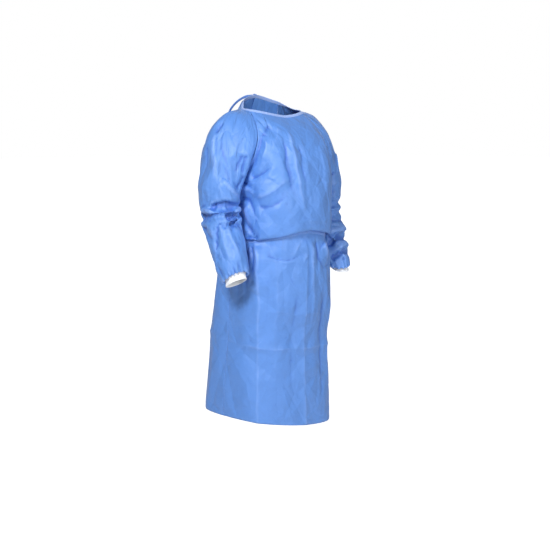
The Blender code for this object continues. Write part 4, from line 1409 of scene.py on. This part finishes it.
def knot_piece(place, material):
    """A tie knotted once: its tape follows a trefoil, squeezed into the knot's size."""
    knot = dict(zip(KNOT_COLUMNS, KNOTS[place]))
    turn = np.linspace(0.0, 2 * np.pi, KNOT_TURNS, endpoint=False)
    across = np.sin(turn) + 2 * np.sin(2 * turn)
    along = np.cos(turn) - 2 * np.cos(2 * turn)
    deep = -np.sin(3 * turn) * KNOT_LIFT
    loop = [
        across / TREFOIL_SPAN * knot["width"],
        deep / TREFOIL_DEPTH * knot["depth"],
        along / TREFOIL_SPAN * knot["height"],
    ]
    loop = np.stack(loop, axis=1)
    middle = loop + np.array(knot["centre"])
    run = np.roll(loop, -1, axis=0) - np.roll(loop, 1, axis=0)
    outward = np.tile((0.0, 1.0, 0.0), (len(loop), 1)) + unit(loop) * KNOT_BULGE
    across = np.cross(run, outward)
    name, node = "knot_" + place, place + "_knot"
    tape_piece(name, node, middle, across, outward, knot["tape"], KNOT_WALL, material, 0.0, closed=True)


# The ends that hang from each knot: their width, the points along them, how many of these stay where they
# are put, the gap to the cloth behind, and how far their faces turn up
HANGING_COLUMNS = ("width", "count", "free", "clearance", "lean")
HANGING = {
    "neck": (NECK_TIE_WIDTH, 90, 45, 0.0016, 0.35),
    "waist": (WAIST_TIE_WIDTH, 80, 10, 0.0018, 0.1),
}
HANGING_LIMP = 0.05


def hanging_end(place, node, points, trees, material):
    end = dict(zip(HANGING_COLUMNS, HANGING[place]))
    middle = laid_outside(curve_through(points, end["count"]), trees, end["clearance"], end["free"])
    outward = np.tile((0.0, 1.0, end["lean"]), (len(middle), 1))
    aside = np.cross(np.gradient(middle, axis=0), outward)
    tie_piece(node, middle, aside, outward, end["width"], HANGING_LIMP, material)


def neck_ties(trees, material):
    knot_piece("neck", material)
    hanging_end("neck", "neck_tie_right", NECK_TAIL_RIGHT, trees, material)
    hanging_end("neck", "neck_tie_left", NECK_TAIL_LEFT, trees, material)


# The waist ties stop this far beside the knot's middle, and the left one starts again this far past the flap
KNOT_HALF = 0.013
FLAP_CLEAR = 0.03
WAIST_TIE_POINTS = 170
WAIST_TIE_EVENING = 12
WAIST_TIE_LIMP = 0.03
# Where each tie starts beside the centre line
WAIST_TIE_STARTS = {"right": -0.0003, "left": 0.0003}


def tie_run(cloths):
    """The two waist ties' paths over the cloth, from the centre front to the knot at the back."""
    stations = cloths["front_panel"]["stations"]
    low = int(np.argmin(np.abs(stations - TIE_STATION)))
    high = int(np.argmin(np.abs(stations - TIE_STATION - 1)))
    lines = []
    for name in BODY_PANELS:
        points, normals = cloths[name]["points"], cloths[name]["form_normals"]
        outward = unit(normals[low] + normals[high])
        rise = unit(points[high] - points[low])
        lines.append(((points[low] + points[high]) / 2, rise, outward))
    front, right, left = lines
    centre = int(np.argmin(np.abs(front[0][:, 0])))
    flap_edge = right[0][-1, 0]
    before = right[0][:, 0] < -KNOT_HALF
    after = right[0][:, 0] > KNOT_HALF
    beyond = left[0][:, 0] > flap_edge + FLAP_CLEAR
    right_run = [np.concatenate([f[centre::-1], b[before]]) for f, b in zip(front, right)]
    left_run = [
        np.concatenate([f[centre:], under[beyond][::-1], over[after][::-1]])
        for f, under, over in zip(front, left, right)
    ]
    return {"right": right_run, "left": left_run}


def waist_ties(cloths, trees, material):
    """The ties round the waist, their knot at the back and its two ends."""
    for side, (middle, rise, outward) in tie_run(cloths).items():
        fractions = np.linspace(0.0, 1.0, WAIST_TIE_POINTS)
        places = travel(middle) / travel(middle)[-1]
        rise = read_along(fractions, places, rise)
        outward = read_along(fractions, places, outward)
        middle = evened(resample(middle, fractions), WAIST_TIE_EVENING)
        middle = middle - rise * TIE_DROP + unit(outward) * (TIE_CLEARANCE + TIE_WALL / 2)
        middle[0, 0] = WAIST_TIE_STARTS[side]
        rise, outward = evened(rise, WAIST_TIE_EVENING), evened(outward, WAIST_TIE_EVENING)
        node, under = "waist_tie_" + side, "cloth_front_panel"
        tie_piece(node, middle, rise, outward, WAIST_TIE_WIDTH, WAIST_TIE_LIMP, material)
    knot_piece("waist", material)
    hanging_end("waist", "waist_end_right", WAIST_END_RIGHT, trees, material)
    hanging_end("waist", "waist_end_left", WAIST_END_LEFT, trees, material)


# Stitches: short spindles of thread, half sunk in the cloth
STITCH_LENGTH = 0.0030
STITCH_PITCH = 0.0044
STITCH_WIDTH = 0.0006
STITCH_SINK = 0.0001
# The share of its own stretch of the line that a stitch is aimed at
STITCH_AIM = 0.9
STITCH_CORNERS = 6


def stitch_line(points, normals, pitch=STITCH_PITCH, length=STITCH_LENGTH):
    """Four-sided spindles along a path, as points and faces."""
    total = travel(points)[-1]
    count = max(int(total / pitch), 1)
    centres = np.arange(count) + 0.5
    middles = resample(points, centres / count)
    ahead = resample(points, np.clip((np.arange(count) + STITCH_AIM) / count, 0.0, 1.0))
    up = unit(read_along(centres / count, travel(points) / total, normals))
    way = unit(ahead - middles)
    aside = np.cross(way, up)
    middles = middles + up * STITCH_SINK
    corners = [middles - way * length / 2, middles + way * length / 2]
    half = STITCH_WIDTH / 2
    for turn in (0.0, 0.5, 1.0, 1.5):
        corners.append(middles + (aside * np.cos(np.pi * turn) + up * np.sin(np.pi * turn)) * half)
    vertices = np.stack(corners, axis=1).reshape(-1, 3)
    faces = []
    for base in range(0, count * STITCH_CORNERS, STITCH_CORNERS):
        for k in range(4):
            a = base + 2 + k
            b = base + 2 + (k + 1) % 4
            faces.extend([(base, b, a), (base + 1, a, b)])
    return vertices, faces


def thread_piece(name, lines, material):
    """All the stitches of one kind as one mesh."""
    vertices, faces, start = [], [], 0
    for line_vertices, line_faces in lines:
        vertices.append(line_vertices)
        faces.extend(tuple(v + start for v in face) for face in line_faces)
        start += len(line_vertices)
    mesh = bpy.data.meshes.new("visible_" + name)
    mesh.from_pydata(np.concatenate(vertices).tolist(), [], faces)
    mesh.shade_smooth()
    return place_piece(name, mesh, material)


def seam_threads(cloths, material):
    """A row of stitches 3 mm inside each sewn edge of the body panels, and down the sleeves."""
    lines = []
    seams = (("front_panel", 2), ("front_panel", -3), ("back_panel_right", 2), ("back_panel_left", -3))
    for name, column in seams:
        cloth = cloths[name]
        lines.append(stitch_line(cloth["points"][:, column], cloth["normals"][:, column]))
    for name in SLEEVES:
        cloth = cloths[name]
        rings = cloth["stations"] < RINGS
        lines.append(stitch_line(cloth["points"][rings, 2], cloth["normals"][rings, 2]))
    return thread_piece("threads_seams", lines, material)


def binding_threads(low, outward, material):
    return thread_piece("threads_binding", [stitch_line(low, outward)], material)


# The tack: its rows beside the centre line, their reach each way as a share of the tie's width, its stitches
TACK_ROWS = (0.004, 0.007)
TACK_SHARE = 0.4
TACK_PITCH = 0.0022
TACK_STITCH = 0.0018


def tie_tack(material):
    """The dense bar of stitches that holds the waist tie at the centre front."""
    tie = bpy.data.objects["tape_waist_tie_left"].data
    first = np.array([tie.vertices[k].co for k in range(SECTION_POINTS)])
    end = (0, 0, WAIST_TIE_WIDTH * TACK_SHARE)
    lines = []
    for shift in TACK_ROWS:
        middle = first.mean(axis=0) + (shift, -TIE_WALL / 2, 0.0)
        ends = np.array([middle - end, middle, middle + end])
        lines.append(stitch_line(ends, np.tile((0.0, -1.0, 0.0), (3, 1)), TACK_PITCH, TACK_STITCH))
    return thread_piece("threads_tie", lines, material)


def shader_of(name):
    material = bpy.data.materials.new(name)
    material.use_nodes = True
    return material, material.node_tree, material.node_tree.nodes["Principled BSDF"]


def noise(tree, vector, scale, detail=3.0, roughness=0.55):
    node = tree.nodes.new("ShaderNodeTexNoise")
    node.inputs["Scale"].default_value = scale
    node.inputs["Detail"].default_value = detail
    node.inputs["Roughness"].default_value = roughness
    tree.links.new(vector, node.inputs["Vector"])
    return node.outputs["Fac"]


def ranged(tree, value, low, high, to_low, to_high):
    node = tree.nodes.new("ShaderNodeMapRange")
    node.interpolation_type = "SMOOTHSTEP"
    for socket, number in (("From Min", low), ("From Max", high), ("To Min", to_low), ("To Max", to_high)):
        node.inputs[socket].default_value = number
    tree.links.new(value, node.inputs["Value"])
    return node.outputs["Result"]


def mixed(tree, factor, first, second):
    """A colour mix; first and second are sockets or colours."""
    node = tree.nodes.new("ShaderNodeMix")
    node.data_type = "RGBA"
    for socket, value in (("Factor", factor), ("A", first), ("B", second)):
        target = [s for s in node.inputs if s.name == socket and s.enabled][0]
        if isinstance(value, bpy.types.NodeSocket):
            tree.links.new(value, target)
        else:
            target.default_value = value if socket == "Factor" else (*value, 1.0)
    return [s for s in node.outputs if s.enabled][0]


def bump(tree, height, strength, distance, below=None):
    node = tree.nodes.new("ShaderNodeBump")
    node.inputs["Strength"].default_value = strength
    node.inputs["Distance"].default_value = distance
    tree.links.new(height, node.inputs["Height"])
    if below is not None:
        tree.links.new(below, node.inputs["Normal"])
    return node.outputs["Normal"]


def attribute(tree, name):
    node = tree.nodes.new("ShaderNodeAttribute")
    node.attribute_name = name
    return node.outputs["Fac"]


def cloth_metres(tree):
    node = tree.nodes.new("ShaderNodeUVMap")
    node.uv_map = "cloth_metres"
    return node.outputs["UV"]


def turned(tree, vector, angle, stretch=(1.0, 1.0, 1.0), kind="POINT"):
    node = tree.nodes.new("ShaderNodeMapping")
    node.vector_type = kind
    node.inputs["Rotation"].default_value = (0.0, 0.0, np.radians(angle))
    node.inputs["Scale"].default_value = stretch
    tree.links.new(vector, node.inputs["Vector"])
    return node.outputs["Vector"]


# The second colour is a painted highlight for the ridges of the folds, and also the pale fibres of the tie
# tape; the third is painted shade for their hollows.
CLOTH_BLUE = (0.086, 0.236, 0.635)
PAINTED_RIDGE_HIGHLIGHT_AND_PALE_FIBRE = (0.220, 0.375, 0.800)
PAINTED_TROUGH_SHADE = (0.016, 0.088, 0.450)
BOND_PITCH = 0.0021
BOND_ANGLE = 32.0
# How much darker and brighter than the cloth its patches and its fibres are
PATCH_SHADE = 0.86
FIBRE_SHADE = 1.5

# Flat facets of crumpled cloth: cells to the metre, direction in degrees, and slope of their sides
FACETS = ((7.0, 35.0, 0.16), (13.0, -40.0, 0.12), (30.0, 70.0, 0.05))
FACET_WARP = 0.035
FACET_STRETCH = (1.0, 2.0, 1.0)


def crumpled(tree, metres, scale, angle, slope, below):
    """A bump of flat facets, which meet in crisp lines as in paper that was folded."""
    sway = tree.nodes.new("ShaderNodeTexNoise")
    sway.inputs["Scale"].default_value = scale / 2
    tree.links.new(metres, sway.inputs["Vector"])
    moved = tree.nodes.new("ShaderNodeVectorMath")
    moved.operation = "MULTIPLY_ADD"
    moved.inputs[1].default_value = (FACET_WARP,) * 3
    tree.links.new(sway.outputs["Color"], moved.inputs[0])
    tree.links.new(metres, moved.inputs[2])
    cells = tree.nodes.new("ShaderNodeTexVoronoi")
    cells.feature = "DISTANCE_TO_EDGE"
    cells.inputs["Scale"].default_value = scale
    slanted = turned(tree, moved.outputs["Vector"], angle, FACET_STRETCH, "TEXTURE")
    tree.links.new(slanted, cells.inputs["Vector"])
    return bump(tree, cells.outputs["Distance"], 1.0, slope / scale, below)


def nonwoven(name):
    """Spunbond cloth: bond points on a slanted grid and mottled fibres, with a painted highlight on the
    ridges and painted shade in the hollows.
    """
    material, tree, shader = shader_of(name)
    metres = cloth_metres(tree)
    hollow = attribute(tree, "hollow")
    patches = noise(tree, metres, 26.0, 3.0)
    fibres = noise(tree, turned(tree, metres, 8.0, (1.0, 0.35, 1.0)), 950.0, 4.0, 0.65)
    darker = tuple(c * PATCH_SHADE for c in CLOTH_BLUE)
    brighter = tuple(min(1.0, c * FIBRE_SHADE) for c in CLOTH_BLUE)
    # Painted shade: the hollows of the folds get a deeper, darker blue, as where shade falls in them.
    colour = mixed(tree, ranged(tree, hollow, 0.05, 1.0, 0.0, 0.75), CLOTH_BLUE, PAINTED_TROUGH_SHADE)
    # Painted highlight: the ridges of the folds are paler, as where more light falls on them.
    colour = mixed(tree, ranged(tree, hollow, -0.10, -1.0, 0.0, 0.5), colour, PAINTED_RIDGE_HIGHLIGHT_AND_PALE_FIBRE)
    colour = mixed(tree, ranged(tree, patches, 0.42, 0.72, 0.0, 0.45), colour, darker)
    colour = mixed(tree, ranged(tree, fibres, 0.35, 0.75, 0.0, 0.20), colour, brighter)
    tree.links.new(colour, shader.inputs["Base Color"])
    tree.links.new(ranged(tree, fibres, 0.3, 0.7, 0.46, 0.58), shader.inputs["Roughness"])
    bonds = tree.nodes.new("ShaderNodeTexVoronoi")
    bonds.inputs["Scale"].default_value = 1 / BOND_PITCH
    bonds.inputs["Randomness"].default_value = 0.0
    tree.links.new(turned(tree, metres, BOND_ANGLE), bonds.inputs["Vector"])
    points = ranged(tree, bonds.outputs["Distance"], 0.16, 0.36, 0.0, 1.0)
    normal = bump(tree, noise(tree, metres, 120.0, 4.0), 0.16, 0.0012)
    for scale, angle, slope in FACETS:
        normal = crumpled(tree, metres, scale, angle, slope, normal)
    normal = bump(tree, fibres, 0.22, 0.00025, normal)
    normal = bump(tree, points, 0.45, 0.00018, normal)
    tree.links.new(normal, shader.inputs["Normal"])
    shader.inputs["Sheen Weight"].default_value = 0.08
    shader.inputs["Sheen Roughness"].default_value = 0.45
    shader.inputs["Specular IOR Level"].default_value = 0.70
    return material


KNIT_SHADOW = (0.70, 0.72, 0.76)
KNIT_WHITE = (0.87, 0.88, 0.90)
KNIT_FUZZ = (0.93, 0.94, 0.95)


def knit_material():
    """White rib knit: tiny slanted loops on the ribs, greyer between them."""
    material, tree, shader = shader_of("cuff_knit")
    metres = cloth_metres(tree)
    loops = tree.nodes.new("ShaderNodeTexWave")
    loops.wave_type = "BANDS"
    loops.bands_direction = "Y"
    loops.inputs["Scale"].default_value = 150.0
    loops.inputs["Distortion"].default_value = 1.2
    loops.inputs["Detail"].default_value = 2.0
    tree.links.new(metres, loops.inputs["Vector"])
    fuzz = noise(tree, metres, 700.0, 4.0, 0.6)
    colour = mixed(tree, ranged(tree, loops.outputs["Fac"], 0.2, 0.8, 0.0, 1.0), KNIT_SHADOW, KNIT_WHITE)
    colour = mixed(tree, ranged(tree, fuzz, 0.4, 0.7, 0.0, 0.3), colour, KNIT_FUZZ)
    tree.links.new(colour, shader.inputs["Base Color"])
    normal = bump(tree, loops.outputs["Fac"], 0.5, 0.0003)
    normal = bump(tree, fuzz, 0.3, 0.0002, normal)
    tree.links.new(normal, shader.inputs["Normal"])
    shader.inputs["Roughness"].default_value = 0.9
    shader.inputs["Sheen Weight"].default_value = 0.35
    return material


def tape_material(name, dark, light):
    """The same nonwoven, folded double, so a little smoother."""
    material, tree, shader = shader_of(name)
    metres = cloth_metres(tree)
    fibres = noise(tree, turned(tree, metres, 0.0, (1.0, 0.3, 1.0)), 800.0, 4.0, 0.6)
    colour = mixed(tree, ranged(tree, fibres, 0.3, 0.75, 0.0, 1.0), dark, light)
    tree.links.new(colour, shader.inputs["Base Color"])
    tree.links.new(ranged(tree, fibres, 0.3, 0.7, 0.5, 0.65), shader.inputs["Roughness"])
    normal = bump(tree, fibres, 0.35, 0.0003)
    tree.links.new(normal, shader.inputs["Normal"])
    shader.inputs["Sheen Weight"].default_value = 0.2
    return material


def thread_material():
    material, tree, shader = shader_of("thread")
    place = tree.nodes.new("ShaderNodeTexCoord").outputs["Object"]
    strands = noise(tree, place, 2500.0, 2.0)
    colour = mixed(tree, strands, (0.16, 0.31, 0.74), (0.30, 0.45, 0.86))
    tree.links.new(colour, shader.inputs["Base Color"])
    shader.inputs["Roughness"].default_value = 0.6
    shader.inputs["Sheen Weight"].default_value = 0.3
    return material


BINDING_DARK = (0.24, 0.38, 0.76)
BINDING_LIGHT = (0.36, 0.49, 0.84)


# Camera: where the photo was taken from, aimed at the middle of the gown
CAMERA_AZIMUTH = -42.0
CAMERA_ELEVATION = 7.1
CAMERA_DISTANCE = 4.0
CAMERA_TARGET = (0.0, 0.0, -0.585)
CAMERA_LENS = 73.3
CAMERA_SENSOR = 36.0
CAMERA_SHIFT = 0.0091
FLOOR_HEIGHT = -1.56
FLOOR_HALF = 60.0


def add_camera():
    azimuth = np.radians(CAMERA_AZIMUTH)
    elevation = np.radians(CAMERA_ELEVATION)
    level = np.cos(elevation)
    back = Vector((np.sin(azimuth) * level, -np.cos(azimuth) * level, np.sin(elevation)))
    data = bpy.data.cameras.new("camera")
    data.lens = CAMERA_LENS
    data.sensor_width = CAMERA_SENSOR
    data.shift_x = CAMERA_SHIFT
    camera = bpy.data.objects.new("camera", data)
    camera.location = Vector(CAMERA_TARGET) + back * CAMERA_DISTANCE
    camera.rotation_euler = (-back).to_track_quat("-Z", "Y").to_euler()
    bpy.context.scene.collection.objects.link(camera)
    bpy.context.scene.camera = camera


LIGHT_COLUMNS = ("azimuth", "height", "distance", "size", "power")
LIGHTS = {
    "key": (-60.0, 1.7, 3.2, 0.75, 124.0),
    "fill": (0.0, 0.8, 4.0, 1.6, 62.0),
    "back": (140.0, 1.2, 3.4, 2.0, 18.0),
}
WORLD_LIGHT = 0.28
# The floor's grey and its glow, which grows between these distances so that its edge meets the white behind
FLOOR_GREY = 0.92
FLOOR_GLOW_FROM = (1.6, 7.0)
FLOOR_GLOW = (0.6, 1.0)


def add_lights():
    for name, values in LIGHTS.items():
        light = dict(zip(LIGHT_COLUMNS, values))
        azimuth = np.radians(light["azimuth"])
        data = bpy.data.lights.new(name, "AREA")
        data.size = light["size"]
        data.energy = light["power"]
        item = bpy.data.objects.new(name, data)
        reach = light["distance"]
        item.location = (np.sin(azimuth) * reach, -np.cos(azimuth) * reach, light["height"])
        aim = Vector(CAMERA_TARGET) - item.location
        item.rotation_euler = aim.to_track_quat("-Z", "Y").to_euler()
        bpy.context.scene.collection.objects.link(item)


def add_world():
    """A white studio, seen white and lighting the gown softly."""
    world = bpy.data.worlds.new("studio")
    world.use_nodes = True
    tree = world.node_tree
    seen = tree.nodes.new("ShaderNodeLightPath").outputs["Is Camera Ray"]
    background = tree.nodes["Background"]
    background.inputs["Color"].default_value = (1.0, 1.0, 1.0, 1.0)
    tree.links.new(ranged(tree, seen, 0.0, 1.0, WORLD_LIGHT, 1.0), background.inputs["Strength"])
    bpy.context.scene.world = world


def add_floor():
    mesh = bpy.data.meshes.new("floor")
    turns = ((-1, -1), (1, -1), (1, 1), (-1, 1))
    corners = [(x * FLOOR_HALF, y * FLOOR_HALF, FLOOR_HEIGHT) for x, y in turns]
    mesh.from_pydata(corners, [], [(0, 1, 2, 3)])
    material, tree, shader = shader_of("floor_paint")
    shader.inputs["Base Color"].default_value = (FLOOR_GREY, FLOOR_GREY, FLOOR_GREY, 1.0)
    shader.inputs["Roughness"].default_value = 0.8
    shader.inputs["Emission Color"].default_value = (1.0, 1.0, 1.0, 1.0)
    away = tree.nodes.new("ShaderNodeVectorMath")
    away.operation = "LENGTH"
    tree.links.new(tree.nodes.new("ShaderNodeTexCoord").outputs["Object"], away.inputs[0])
    glow = ranged(tree, away.outputs["Value"], *FLOOR_GLOW_FROM, *FLOOR_GLOW)
    seen = tree.nodes.new("ShaderNodeMath")
    seen.operation = "MULTIPLY"
    tree.links.new(tree.nodes.new("ShaderNodeLightPath").outputs["Is Camera Ray"], seen.inputs[0])
    tree.links.new(glow, seen.inputs[1])
    tree.links.new(seen.outputs[0], shader.inputs["Emission Strength"])
    mesh.materials.append(material)
    floor = bpy.data.objects.new("floor", mesh)
    bpy.context.scene.collection.objects.link(floor)


def build_gown():
    cloth = nonwoven("gown_cloth")
    knit = knit_material()
    binding = tape_material("binding_tape", BINDING_DARK, BINDING_LIGHT)
    tape = tape_material("tie_tape", CLOTH_BLUE, PAINTED_RIDGE_HIGHLIGHT_AND_PALE_FIBRE)
    thread = thread_material()
    cloths = all_cloth()
    bodies = [surface_tree(cloths[name]) for name in BODY_PANELS]
    for name in SLEEVES:
        keep_clear(cloths[name], bodies)
    for each in cloths.values():
        item = cloth_piece(each, cloth)
    for side in (RIGHT, LEFT):
        item = cuff_piece(side, knit)
    trees = bodies + [surface_tree(cloths[name]) for name in SLEEVES]
    low, outward = neck_binding(cloths, binding)
    neck_ties(trees, tape)
    waist_ties(cloths, trees, tape)
    seam_threads(cloths, thread)
    binding_threads(low, outward, thread)
    tie_tack(thread)


add_camera()
add_lights()
add_world()
add_floor()
bpy.context.scene.view_settings.view_transform = "Standard"
build_gown()
